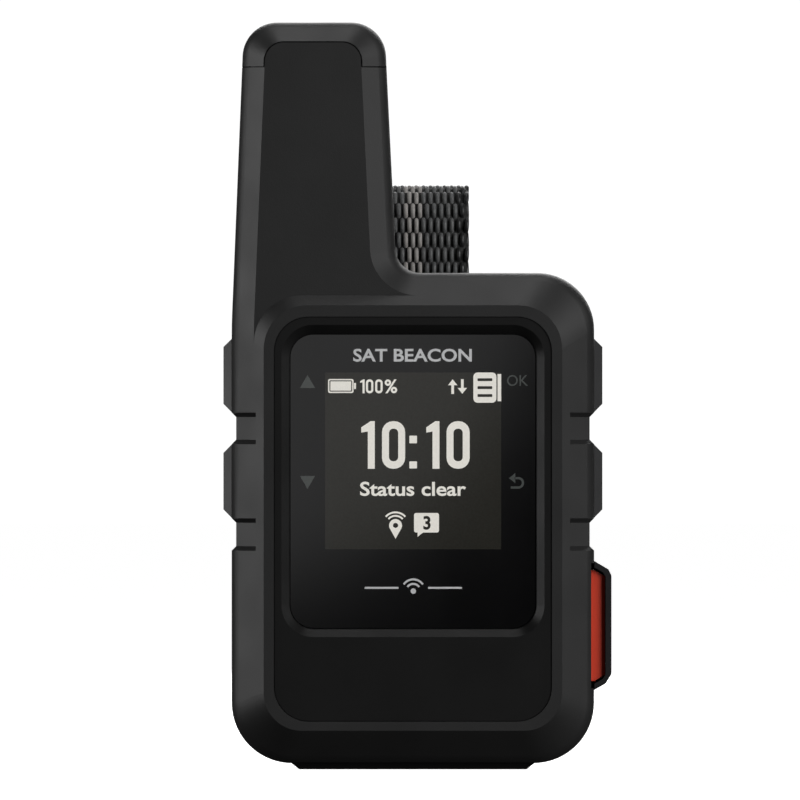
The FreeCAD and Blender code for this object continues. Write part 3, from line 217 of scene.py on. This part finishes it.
# %% [markdown]
# Inside: circuit boards, the ceramic positioning antenna and the wrapped cell. They never show unless
# the case is taken apart, but each still gets what its maker would give it.

# %% Inside finishes
board_mask, mask_shader = new_material("fibreglass_solder_mask", **{"IOR": 1.55, "Roughness": 0.35})
tracks = add(board_mask, "TexBrick", {"Vector": add(board_mask, "TexCoord").outputs["Object"],
                                      "Scale": per_mm(3.0), "Mortar Size": 0.03})
wire(board_mask, mask_shader, "Base Color",
     blend_colours(board_mask, tracks.outputs["Fac"], "#0d3b23", "#18573a", 0.0, 1.0))
patch_ceramic = moulded("ceramic_fired_patch", "#c9bda4", "#bfb195", 0.42, 0.4, 0.01, **{"IOR": 1.6})
cell_film = moulded("polyester_shrink_film", "#2a3556", "#24304e", 0.3, 2.0, 0.03, **{"IOR": 1.57})

# %% [markdown]
# Each CAD node already knows its material slot, so one table from slot to finish covers them all. The
# keys share the jacket's slot in the record, but their tool is smoother, so they are set after it.

# %% Finish every CAD node
FINISHES = {
    "jacket": jacket_elastomer, "cover_plastic": cover_acetal, "case_plastic": panel_nylon,
    "adapter_plastic": adapter_nylon, "sos_red": key_red, "lens": lens_glass, "steel": turned_steel,
    "tinplate": tinned_sheet, "brass": turned_brass, "carabiner_alloy": anodised, "webbing": pad_foam,
    "seal_rubber": seal_silicone, "foam": pad_foam, "display": display_film, "circuit": board_mask,
    "component_black": component_epoxy, "patch_ceramic": patch_ceramic, "battery_wrap": cell_film,
    "former_plastic": former_nylon, "copper": plated_copper,
}


def finish(node, material):
    """Puts one material in all of a CAD node's slots."""
    mesh = nodes[node].data
    mesh.materials.clear()
    mesh.materials.append(material)


for part in record["subparts"]:
    finish(part["node"], FINISHES[part["material_slot"]])
for key in ("up_button", "down_button", "ok_button", "back_button", "power_button"):
    finish(key, key_elastomer)
print("finishes in use:", len(FINISHES) + 1)

# %% [markdown]
# ## Putting a mesh in the scene
# Every new piece is worked out as arrays and handed to one function. A surface is a grid of points
# over two parameters; where the grid closes on itself, its last row joins the first.

# %% Mesh helpers
def piece(name, points, faces, material, body="case", slot=None, smooth=True):
    """Makes an object from arrays of points and faces, and hangs it on its body."""
    mesh = bpy.data.meshes.new(name)
    mesh.from_pydata(np.asarray(points, float).tolist(), [], [tuple(f) for f in faces])
    mesh.materials.append(material)
    mesh.polygons.foreach_set("use_smooth", np.full(len(mesh.polygons), smooth))
    thing = bpy.data.objects.new(name, mesh)
    bpy.context.scene.collection.objects.link(thing)
    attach(thing, body)
    return thing


def grid_faces(rows, columns, wrap_rows=False, wrap_columns=False, start=0):
    """Quads between the neighbours of a rows by columns grid of points, closed where asked."""
    r = np.arange(rows if wrap_rows else rows - 1)
    c = np.arange(columns if wrap_columns else columns - 1)
    r, c = np.meshgrid(r, c, indexing="ij")
    nr, nc = (r + 1) % rows, (c + 1) % columns
    quads = np.stack([r * columns + c, r * columns + nc, nr * columns + nc, nr * columns + c], axis=-1)
    return (quads.reshape(-1, 4) + start).tolist()


def joined(*shapes):
    """Several (points, faces) pairs as one pair."""
    points, faces, start = [], [], 0
    for some, their in shapes:
        points.append(np.asarray(some, float))
        faces += [[i + start for i in face] for face in their]
        start += len(some)
    return np.concatenate(points), faces


# %% [markdown]
# ## Printing and the lit display
# The real graphics lie under the glass, some printed and some lit. Thin glass would have to be traced
# through twice to show them, so each one is laid on the lens as a layer a few hundredths of a
# millimetre high with the glass's own shine. A shape is a closed outline in X and Z given a front, a
# back and an edge, and a ring is the same between two outlines.

# %% Flat shapes
LENS_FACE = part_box("lens_glass")[0][1]
LAYER = 0.012 * MM


def level(number):
    """The front of the layer that lies this many steps in front of the lens."""
    return LENS_FACE - number * LAYER


def plate(outline, layer):
    """A thin plate: the outline's points in mm on its front, the same on its back, and a wall between."""
    flat = np.asarray(outline, float) * MM
    count = len(flat)
    front = np.column_stack([flat[:, 0], np.full(count, level(layer)), flat[:, 1]])
    back = front + [0, level(layer - 1) - level(layer), 0]
    walls = [[i, i + count, (i + 1) % count + count, (i + 1) % count] for i in range(count)]
    return np.concatenate([front, back]), [list(range(count)), list(range(2 * count - 1, count - 1, -1)), *walls]


def ring(outer, inner, layer):
    """A thin ring between two outlines with the same number of points."""
    outer, inner = (np.asarray(loop, float) * MM for loop in (outer, inner))
    count, near, far = len(outer), level(layer), level(layer - 1)
    loops = [np.column_stack([flat[:, 0], np.full(count, y), flat[:, 1]])
             for flat, y in ((outer, near), (inner, near), (inner, far), (outer, far))]
    return np.concatenate(loops), grid_faces(4, count, wrap_rows=True, wrap_columns=True)


def rounded(x0, x1, z0, z1, radius, steps=6):
    """A rounded rectangle, anticlockwise from the front: a quarter circle about each corner's centre."""
    centres = [(x1 - radius, z0 + radius), (x1 - radius, z1 - radius), (x0 + radius, z1 - radius),
               (x0 + radius, z0 + radius)]
    turns = np.linspace(-np.pi / 2, 0, steps)
    arcs = [np.column_stack([cx + radius * np.cos(turns + k * np.pi / 2),
                             cz + radius * np.sin(turns + k * np.pi / 2)])
            for k, (cx, cz) in enumerate(centres)]
    return np.concatenate(arcs)


def stroke(path, width, layer):
    """A band of even width along an open path: each point moved half the width along its normal."""
    path = np.asarray(path, float)
    run = np.gradient(path, axis=0)
    normal = np.column_stack([-run[:, 1], run[:, 0]]) / np.linalg.norm(run, axis=1)[:, None]
    return plate(np.concatenate([path - normal * width / 2, (path + normal * width / 2)[::-1]]), layer)


def arc(cx, cz, radius, start, end, steps=16):
    """Points on a circle between two angles in degrees."""
    turn = np.radians(np.linspace(start, end, steps))
    return np.column_stack([cx + radius * np.cos(turn), cz + radius * np.sin(turn)])


def lettering(words, x0, x1, z0, z1, layer, weight=0.012):
    """Words in the plain built-in face, thickened by weight and fitted to a rectangle in mm."""
    curve = bpy.data.curves.new("words", "FONT")
    curve.body, curve.offset, curve.extrude, curve.resolution_u = words, weight, 0.5, 4
    holder = bpy.data.objects.new("words", curve)
    mesh = bpy.data.meshes.new_from_object(holder)
    points = np.empty(len(mesh.vertices) * 3)
    mesh.vertices.foreach_get("co", points)
    points = points.reshape(-1, 3)
    faces = [list(polygon.vertices) for polygon in mesh.polygons]
    low, high = points.min(axis=0), points.max(axis=0)
    share = (points - low) / (high - low)
    across, up, deep = share[:, 0], share[:, 1], share[:, 2]
    placed = np.column_stack([(x0 + (x1 - x0) * across) * MM,
                              level(layer - 1) + (level(layer) - level(layer - 1)) * deep,
                              (z0 + (z1 - z0) * up) * MM])
    bpy.data.objects.remove(holder)
    bpy.data.curves.remove(curve)
    bpy.data.meshes.remove(mesh)
    return placed, faces


# %% [markdown]
# The display is a reflective panel behind the middle of the lens: a dark olive field with pale
# figures. The clock's figures are a condensed bold face, which is easy to make from straight bars and
# rounded rings, so they keep their even stroke. The field's edge and every icon has its own place.

# %% Display field and clock
piece("display_field", *plate(rounded(-11.62, 11.68, 29.2, 52.6, 0.12), 1), display_film, slot="display",
      smooth=False)


def nought(left, right, low, high, bar):
    """A condensed nought: a tall ring whose ends are nearly half circles."""
    outer = rounded(left, right, low, high, 0.47 * (right - left))
    inner = rounded(left + bar, right - bar, low + 1.08 * bar, high - 1.08 * bar, 0.42 * (right - left) - 0.8 * bar)
    return ring(outer, inner, 2)


def one(left, right, low, high, bar):
    """A condensed one: an upright bar with a short flag that falls away to the left."""
    drop, stub = 0.13 * (high - low), 0.11 * (high - low)
    return plate([(right - bar, low), (right, low), (right, high), (right - 0.6 * bar, high),
                  (left, high - drop), (left, high - drop - stub), (right - bar, high - drop - 0.8 * stub)], 2)


CLOCK = (39.86, 46.16, 0.92)
clock = joined(one(-6.84, -5.05, *CLOCK), nought(-4.09, -1.03, *CLOCK),
               plate(rounded(-0.47, 0.54, 39.9, 40.84, 0.1), 2), plate(rounded(-0.47, 0.54, 43.23, 44.24, 0.1), 2),
               one(1.77, 3.51, *CLOCK), nought(4.45, 7.51, *CLOCK))
piece("display_clock", *clock, lit_pixels, slot="display", smooth=False)

# %% [markdown]
# The status row and the icons follow: a full battery, a pair of arrows, a menu tab, a place marker
# with signal arcs over it, and a message bubble with a count. Dark details such as the menu's bars sit
# one layer further out, over the pale shape.

# %% Display icons
ARROW = np.array([(-0.62, 0), (0, -0.78), (0.62, 0), (0.18, 0), (0.18, 1.16), (-0.18, 1.16), (-0.18, 0)])


def arrow(x, z, up):
    """A short arrow; pointing up, it is the same outline turned by half a turn."""
    return plate((-ARROW if up else ARROW) + [x, z], 2)


def marker(x, z, size):
    """A place marker: the round head's circle drawn down to a point, with a round hole."""
    head = arc(x, z, size, -35, 215, 21)
    hole = arc(x, z, size * 0.40, -35, 215, 21)
    outer = np.concatenate([head, [(x, z - 2.05 * size)]])
    inner = np.concatenate([hole, [(x, z - 0.40 * size)]])
    return ring(outer, inner, 2)


CHARGE = (49.85, 51.69, 0.28)
icons = joined(
    ring(rounded(-11.23, -7.86, 49.89, 51.74, 0.22), rounded(-11.05, -8.04, 50.07, 51.56, 0.12), 2),
    plate(rounded(-10.92, -8.17, 50.20, 51.43, 0.05), 2),
    plate(rounded(-7.80, -7.53, 50.42, 51.22, 0.06), 2),
    one(-7.0, -6.39, *CHARGE), nought(-6.22, -5.24, *CHARGE), nought(-5.0, -4.0, *CHARGE),
    lettering("%", -3.74, -2.08, 49.85, 51.69, 2, 0.02),
    arrow(5.26, 50.92, True), arrow(6.54, 50.56, False),
    plate(rounded(8.0, 11.05, 48.60, 52.60, 0.55), 2),
    plate([(11.20, 48.80), (11.68, 48.80), (11.68, 52.40), (11.20, 52.40)], 2),
    lettering("Status clear", -7.0, 7.03, 36.25, 38.15, 2, 0.02),
    marker(-2.30, 32.35, 0.86),
    stroke(arc(-2.30, 32.35, 1.28, 42, 138), 0.24, 2),
    stroke(arc(-2.30, 32.35, 1.74, 42, 138), 0.24, 2),
    plate(rounded(0.15, 3.45, 31.42, 34.01, 0.28), 2),
    plate([(0.62, 30.84), (1.35, 31.44), (0.62, 31.44)], 2),
)
piece("display_icons", *icons, lit_pixels, slot="display", smooth=False)
dark_details = joined(
    *[plate(rounded(8.55, 10.50, z - 0.19, z + 0.19, 0.08), 3) for z in (49.55, 50.60, 51.65)],
    lettering("3", 1.38, 2.34, 31.78, 33.62, 3, 0.03),
)
piece("display_icon_details", *dark_details, display_film, slot="display", smooth=False)

# %% [markdown]
# Printed round the display are the two arrows, OK and a turn-back arrow beside the side keys, a plain
# caption above, and below it a small row of signal arcs where a maker would put its own mark.

# %% Legends on the glass
TURN_BACK = arc(13.95, 38.0, 0.62, -90, 90, 12)
legends = joined(
    plate([(-14.95, 50.55), (-12.95, 50.55), (-13.95, 52.27)], 1),
    plate([(-13.95, 37.19), (-12.95, 38.91), (-14.95, 38.91)], 1),
    lettering("OK", 12.45, 15.23, 50.82, 52.27, 1, 0.0),
    stroke(np.concatenate([[(12.95, 37.38)], TURN_BACK, [(13.45, 38.62)]]), 0.30, 1),
    plate([(12.71, 38.62), (13.55, 37.95), (13.55, 39.29)], 1),
)
piece("legends_by_keys", *legends, grey_print, slot="lens", smooth=False)
MARK_X, MARK_Z = 0.05, 23.35
captions = joined(
    lettering("SAT BEACON", -7.9, 7.8, 54.02, 55.75, 1, 0.022),
    plate(arc(MARK_X, MARK_Z + 0.32, 0.36, 0, 345, 24), 1),
    *[stroke(arc(MARK_X, MARK_Z + 0.32, r, 35, 145), 0.26, 1) for r in (0.95, 1.55)],
    plate(rounded(-6.4, -1.9, MARK_Z + 0.62, MARK_Z + 0.88, 0.1), 1),
    plate(rounded(2.0, 6.5, MARK_Z + 0.62, MARK_Z + 0.88, 0.1), 1),
)
piece("captions_on_glass", *captions, pale_print, slot="lens", smooth=False)
print("printing lies from", round(LENS_FACE / MM, 2), "to", round(level(3) / MM, 3), "mm in Y")

# %% [markdown]
# ## The webbing loop
# The lanyard is a narrow woven strap in a closed loop round the adapter's bar. Its lengthwise yarns
# stand in columns under half a millimetre apart. Each one passes over the crosswise yarns for about
# two millimetres, then under them for as long, and its neighbours do the opposite. A flat picture of
# that would look painted, so each yarn is a tube of its own that weaves in and out of a thin, dark
# core, which stands for the crosswise yarns. Five yarns in the middle are a pale stripe.
#
# Every tube follows the same closed loop in the YZ plane: two straight legs and rounded ends. The
# loop's sides are pulled in a little towards the middle, as a strap's are when it hangs.

# %% The loop that the webbing follows
strap_low, strap_high = (np.array(corner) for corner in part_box("strap"))
STRAP_HALF = 0.75 * MM
WIDTH = 14.6 * MM
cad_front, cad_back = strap_low[1] + STRAP_HALF, strap_high[1] - STRAP_HALF
LIFT = 0.38 * MM
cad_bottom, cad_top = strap_low[2] + STRAP_HALF, strap_high[2] - STRAP_HALF + LIFT
CORNER = 4.0 * MM
PULL_IN = 0.35 * MM


def loop(places):
    """Centre line and outward normal of the loop at places from 0 to 1 along it.

    The line is a rounded rectangle in Y and Z, walked from the middle of its front leg upwards. Its
    straight runs and quarter circles are laid end to end by their lengths.
    """
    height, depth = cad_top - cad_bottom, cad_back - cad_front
    rise, span, quarter = height - 2 * CORNER, depth - 2 * CORNER, CORNER * np.pi / 2
    lengths = np.array([rise / 2, quarter, span, quarter, rise, quarter, span, quarter, rise / 2])
    ends = np.concatenate([[0], np.cumsum(lengths)])
    along = np.mod(places, 1.0) * ends[-1]
    which = np.clip(np.searchsorted(ends, along, side="right") - 1, 0, 8)
    share = (along - ends[which]) / lengths[which]
    heading = np.radians([90, 90, 0, 0, -90, -90, -180, -180, -270])
    turned = heading[which] - np.where(which % 2 == 1, share * np.pi / 2, 0)
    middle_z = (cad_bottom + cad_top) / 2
    starts = np.array([
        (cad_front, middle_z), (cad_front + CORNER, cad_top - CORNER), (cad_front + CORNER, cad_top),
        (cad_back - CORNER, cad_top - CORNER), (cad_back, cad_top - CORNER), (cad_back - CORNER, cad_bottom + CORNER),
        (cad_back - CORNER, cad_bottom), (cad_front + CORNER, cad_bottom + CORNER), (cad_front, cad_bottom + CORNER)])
    normal = np.stack([-np.sin(turned), np.cos(turned)], axis=-1)
    ahead = np.stack([np.cos(turned), np.sin(turned)], axis=-1)
    straight = starts[which] + ahead * (share * lengths[which])[..., None]
    curved = starts[which] + normal * CORNER
    line = np.where((which % 2 == 1)[..., None], curved, straight)
    sway = PULL_IN * np.sin(np.pi * (line[..., 1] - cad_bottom) / height) ** 2
    line = line + np.stack([np.where(line[..., 0] < (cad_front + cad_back) / 2, sway, -sway), 0 * sway], axis=-1)
    return line, normal


check_line = loop(np.linspace(0, 1, 2000))[0]
loop_length = np.linalg.norm(np.diff(check_line, axis=0), axis=1).sum()
print("webbing loop is", round(loop_length / MM, 1), "mm round")

# %% [markdown]
# A tube is a grid: places along the loop by angles round the yarn. Its centre moves out and in as a
# flattened wave, so a float lies level before it dives. The yarn is wider than it is thick, because
# the weave presses it flat.

# %% Yarns
COLUMNS = 31
FLOATS = 13
STEPS_ALONG, STEPS_ROUND = 13 * 16, 8
PITCH = WIDTH / COLUMNS


ROW_SHIFT = -1.2
SELVEDGE = 3
SCALLOP = 0.16 * MM


def yarn(column, half_width=0.285 * MM, half_thick=0.22 * MM, swing=0.45 * MM):
    """One closed warp yarn: an oval tube whose centre swings across the core as tanh of a sine."""
    place = np.arange(STEPS_ALONG) / STEPS_ALONG
    line, normal = loop(place)
    phase = np.pi * (column % 2) + ROW_SHIFT + 0.06 * np.sin(1.7 * column)
    wave = np.sin(2 * np.pi * FLOATS * place + phase)
    swell = np.tanh(1.8 * wave) / np.tanh(1.8)
    fat = 1.0 + 0.10 * (np.abs(wave) - 0.5)
    turn = np.arange(STEPS_ROUND) * 2 * np.pi / STEPS_ROUND
    place_across = (column - (COLUMNS - 1) / 2) * PITCH
    scallop = SCALLOP * np.abs(np.sin(np.pi * FLOATS * place + ROW_SHIFT / 2)) ** 0.5
    if column in (0, COLUMNS - 1):
        place_across = place_across + np.sign(place_across) * scallop[:, None]
    x = place_across + half_width * np.outer(fat, np.sin(turn))
    out = (swing * swell)[:, None] + half_thick * np.outer(fat, np.cos(turn))
    yz = line[:, None, :] + normal[:, None, :] * out[..., None]
    points = np.stack([x, yz[..., 0], yz[..., 1]], axis=-1).reshape(-1, 3)
    return points, grid_faces(STEPS_ALONG, STEPS_ROUND, wrap_rows=True, wrap_columns=True)


def woven(name, colour, second, roughness):
    """Solution-dyed nylon yarn: fine filaments along it, in the tint and the relief."""
    material, shader = new_material(name, **{"IOR": 1.53, "Specular IOR Level": 0.35, "Sheen Weight": 0.12,
                                             "Sheen Roughness": 0.4})
    filaments = speckle(material, 0.09, 2.0, (1, 1, 0.12))
    wire(material, shader, "Base Color", blend_colours(material, filaments, colour, second))
    wire(material, shader, "Roughness", between(material, filaments, roughness - 0.08, roughness + 0.08))
    relief(material, shader, filaments, 0.04)
    return material


nylon_dark = woven("nylon_yarn_dark", "#676868", "#434445", 0.5)
nylon_edge = woven("nylon_selvedge_black", "#262627", "#141415", 0.38)
nylon_pale = woven("nylon_yarn_pale", "#a3a09c", "#858280", 0.5)
nylon_core = woven("nylon_weft_black", "#0d0d0d", "#080808", 0.7)
STRIPE = range(13, 18)
EDGES = [*range(SELVEDGE), *range(COLUMNS - SELVEDGE, COLUMNS)]
dark = joined(*[yarn(c) for c in range(COLUMNS) if c not in STRIPE and c not in EDGES])
edges = joined(*[yarn(c) for c in EDGES])
pale = joined(*[yarn(c) for c in STRIPE])
webbing_yarns = piece("webbing_yarns", *dark, nylon_dark, slot="webbing")
webbing_stripe = piece("webbing_stripe", *pale, nylon_pale, slot="webbing")
webbing_edges = piece("webbing_edges", *edges, nylon_edge, slot="webbing")

# %% [markdown]
# The core is the sheet itself: a thin closed band with one crosswise yarn swelling its surface every
# half float. It is what the strap measures flat. It stands for the plain CAD strap.

# %% Woven core
def band(half_thick=0.20 * MM, ribs=2 * FLOATS, rib=0.06 * MM):
    """A closed band: places along the loop by the eight points of its section, ribbed across."""
    steps = 12 * ribs
    place = np.arange(steps) / steps
    line, normal = loop(place)
    swell = half_thick + rib * np.cos(2 * np.pi * ribs * place)
    edge = WIDTH / 2 - 0.12 * MM
    across = np.array([-1.0, -0.985, 0.0, 0.985, 1.0, 0.985, 0.0, -0.985]) * edge
    out = np.array([0, 1, 1, 1, 0, -1, -1, -1])
    x = np.broadcast_to(across, (steps, 8))
    yz = line[:, None, :] + normal[:, None, :] * (swell[:, None] * out)[..., None]
    return (np.stack([x, yz[..., 0], yz[..., 1]], axis=-1).reshape(-1, 3),
            grid_faces(steps, 8, wrap_rows=True, wrap_columns=True))


webbing_core = piece("webbing_core", *band(), nylon_core, slot="webbing")
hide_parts("strap")

# %% [markdown]
# The two ends of the webbing overlap low on the back leg, and a dense zigzag holds them. Each stitch
# is a short, fat capsule of thread lying on the yarns.

# %% Bar tacks
def capsule(start, end, radius, rows=7, round_steps=6):
    """A closed tube between two points whose radius is a half sine, so that both its ends close."""
    start, end = np.asarray(start, float), np.asarray(end, float)
    along = (end - start) / np.linalg.norm(end - start)
    side = np.cross(along, [0.0, 1.0, 0.0])
    side /= np.linalg.norm(side)
    up = np.cross(side, along)
    share = np.linspace(0, 1, rows)
    swell = radius * np.sin(np.pi * np.clip(share, 0.04, 0.96)) ** 0.5
    turn = np.arange(round_steps) * 2 * np.pi / round_steps
    points = (start + np.outer(share, end - start))[:, None, :] \
        + swell[:, None, None] * (np.cos(turn)[None, :, None] * side + np.sin(turn)[None, :, None] * up)
    return points.reshape(-1, 3), [[*range(round_steps)][::-1], *grid_faces(rows, round_steps, wrap_columns=True),
                                   [*range((rows - 1) * round_steps, rows * round_steps)]]


tack_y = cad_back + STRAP_HALF - 0.10 * MM
tacks = []
for tack_z in (61.2 * MM, 63.4 * MM):
    xs = np.linspace(-6.2, 6.2, 36) * MM
    zs = tack_z + np.where(np.arange(36) % 2 == 0, -0.55, 0.55) * MM
    tacks += [capsule((xs[i], tack_y, zs[i]), (xs[i + 1], tack_y, zs[i + 1]), 0.16 * MM) for i in range(35)]
thread = woven("polyester_thread_black", "#2c2c2d", "#1c1c1d", 0.45)
webbing_tacks = piece("webbing_tacks", *joined(*tacks), thread, slot="webbing")
print("yarn faces:", len(dark[1]) + len(pale[1]), "core faces:", len(webbing_core.data.polygons))

# %% [markdown]
# ## The thumbscrew's grip
# The CAD knob is a plain drum. The real one has straight knurling pressed into its rim, which catches
# the light in fine lines. It is a sleeve: a profile in radius and depth carried round the axis, whose
# radius rises and falls with the angle.

# %% Knurled sleeve
def knurl(centre, inner, outer, front, back, ridges=44, depth=0.16 * MM):
    """A ring about the Y axis: six profile points by angles, the outer ones following a rounded wave."""
    steps = ridges * 6
    turn = np.arange(steps) * 2 * np.pi / steps
    wave = np.abs(np.cos(turn * ridges / 2)) ** 0.7
    chamfer = 0.35 * MM
    profile = [(inner, front, 0), (outer - chamfer, front, 0), (outer, front + chamfer, 1),
               (outer, back - chamfer, 1), (outer - chamfer, back, 0), (inner, back, 0)]
    rings = []
    for radius, y, ridged in profile:
        r = radius - ridged * depth * (1 - wave)
        rings.append(np.column_stack([centre[0] + r * np.cos(turn), np.full(steps, y),
                                      centre[1] + r * np.sin(turn)]))
    return np.concatenate(rings), grid_faces(6, steps, wrap_rows=True, wrap_columns=True)


SCREW_AXIS = (0.0, 24.0 * MM)
knurled = piece("thumbscrew_knurl", *knurl(SCREW_AXIS, 4.4 * MM, 4.72 * MM, 16.15 * MM, 19.1 * MM), turned_steel,
                body="thumb_screw", slot="steel")
print("knurl faces:", len(knurled.data.polygons))

# %% [markdown]
# ## The red key's recess
# The lid over the red key is a bridge, open at its front and at its back. On the real thing the recess
# behind it is closed by low walls at its two ends, in front of the hinge's ears, so that grit and light
# stay out. Each wall is a flat plate whose sloping edge follows the lid's own slope, a little inside
# it. Both come from the lid's box, and they stand still when the lid swings.

# %% Recess walls
lid_low, lid_high = (np.array(corner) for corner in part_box("sos_cap"))
key_low, key_high = (np.array(corner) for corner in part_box("sos_button"))
RECESS_MIDDLE = (key_low[2] + key_high[2]) / 2
LID_HALF = 8.55 * MM
WALL_THICK = 0.35 * MM


def recess_wall(end):
    """A closed plate behind one end of the lid: end is 1 for the upper one and -1 for the lower."""
    root, face = 23.58 * MM, lid_high[0]
    outline = [(root, LID_HALF - 3.0 * MM), (face - 0.62 * MM, LID_HALF - 3.0 * MM),
               (face - 0.62 * MM, LID_HALF - 1.75 * MM), (face - 1.0 * MM, LID_HALF - 1.35 * MM),
               (face - 2.2 * MM, LID_HALF - 0.12 * MM), (root, LID_HALF - 0.02 * MM)]
    front = key_high[1] + 0.6 * MM
    count = len(outline)
    points = np.array([(x, y, RECESS_MIDDLE + end * z) for y in (front, front + WALL_THICK) for x, z in outline])
    walls = [[i, i + count, (i + 1) % count + count, (i + 1) % count] for i in range(count)]
    faces = [list(range(count)), list(range(2 * count - 1, count - 1, -1)), *walls]
    return points, [face[::-1] for face in faces] if end < 0 else faces


recess = piece("sos_recess_walls", *joined(recess_wall(1), recess_wall(-1)), jacket_elastomer,
               slot="jacket", smooth=False)
print("recess walls:", len(recess.data.polygons), "faces")

# %% [markdown]
# ## Light, floor and camera
# Product light on a black thing comes from the sides. Two large soft boxes draw a grey edge down each
# flank, a weaker one overhead lifts the shoulder, and the front stays dark, so the panel and the glass
# keep their depth. A small near box, up and to the left, gives the glass its fading reflection.

# %% Soft boxes
def soft_box(name, place, target, width, height, power, shape="RECTANGLE"):
    """An area light that faces a target."""
    lamp = bpy.data.lights.new(name, "AREA")
    lamp.shape, lamp.size, lamp.energy = shape, width, power
    if shape == "RECTANGLE":
        lamp.size_y = height
    box = bpy.data.objects.new(name, lamp)
    box.location = place
    box.rotation_mode = "QUATERNION"
    box.rotation_quaternion = (Vector(target) - Vector(place)).to_track_quat("-Z", "Y")
    box.visible_camera = False
    bpy.context.scene.collection.objects.link(box)
    return box


MIDDLE = (0.0, 0.0, 0.05)
soft_box("left_box", (-0.80, -0.08, 0.18), MIDDLE, 0.5, 0.5, 2.75)
soft_box("right_box", (0.59, -0.49, 0.17), MIDDLE, 0.45, 0.5, 5.4)
soft_box("top_box", (0.0, 0.04, 0.85), MIDDLE, 0.5, 0.4, 1.7)
soft_box("back_box", (0.1, 0.9, 0.45), MIDDLE, 0.8, 0.6, 6.0)
soft_box("glass_disc", (-0.039, -0.342, 0.078), (-0.039, 0.0, 0.078), 0.12, 0.12, 0.024, "DISK")

# %% [markdown]
# The floor is seamless pale paper, flat out to where the sky's white takes over. It is kept out of the
# object's own reflections, as a photographer does with black flags, so that the front stays dark.

# %% Floor and surroundings
paper, paper_shader = new_material("paper_seamless_pale", Roughness=0.9)
paper_grain = speckle(paper, 1.5, 2.0)
wire(paper, paper_shader, "Base Color", blend_colours(paper, paper_grain, "#f4f4f3", "#f7f7f7"))
paper_shader.inputs["Emission Color"].default_value = linear("#ffffff")
paper_shader.inputs["Emission Strength"].default_value = 0.97
FLOOR_RADIUS = 6.0
rim = np.arange(96) * 2 * np.pi / 96
floor_points = np.concatenate([[(0, 0, 0)], *[np.column_stack([r * np.cos(rim), r * np.sin(rim), 0 * rim])
                                              for r in (0.5, FLOOR_RADIUS)]])
floor_faces = [[0, 1 + i, 1 + (i + 1) % 96] for i in range(96)] + grid_faces(2, 96, wrap_columns=True, start=1)
floor_mesh = bpy.data.meshes.new("floor")
floor_mesh.from_pydata(floor_points.tolist(), [], floor_faces)
floor_mesh.materials.append(paper)
floor = bpy.data.objects.new("floor", floor_mesh)
bpy.context.scene.collection.objects.link(floor)
floor.visible_diffuse = floor.visible_glossy = False

world = bpy.data.worlds.new("studio")
world.use_nodes = True
world.node_tree.nodes.clear()
sky = add(world, "LightPath")
dim = add(world, "Background", {"Color": linear("#ffffff"), "Strength": 0.03})
white = add(world, "Background", {"Color": linear("#ffffff"), "Strength": 1.05})
shown = add(world, "MixShader", {0: sky.outputs["Is Camera Ray"], 1: dim.outputs[0], 2: white.outputs[0]})
add(world, "OutputWorld", {"Surface": shown.outputs[0]})
bpy.context.scene.world = world

# %% [markdown]
# The camera looks straight at the front from three metres through a very long lens, so that upright
# lines stay upright. Its centre is a little left of the object's and half-way up it.

# %% Camera
DISTANCE = 3.0
VIEW_CENTRE = (-1.71 * MM, 48.96 * MM)
VIEW_WIDTH = 105.84 * MM
camera_data = bpy.data.cameras.new("camera")
front_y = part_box("rubber_jacket")[0][1]
camera_data.sensor_width = 36.0
camera_data.lens = 36.0 * DISTANCE / VIEW_WIDTH
camera = bpy.data.objects.new("camera", camera_data)
camera.location = (VIEW_CENTRE[0], front_y - DISTANCE, VIEW_CENTRE[1])
camera.rotation_euler = (math.pi / 2, 0, 0)
camera_data.clip_start, camera_data.clip_end = 0.05, 60.0
bpy.context.scene.collection.objects.link(camera)
bpy.context.scene.camera = camera
bpy.context.scene.view_settings.view_transform = "Standard"
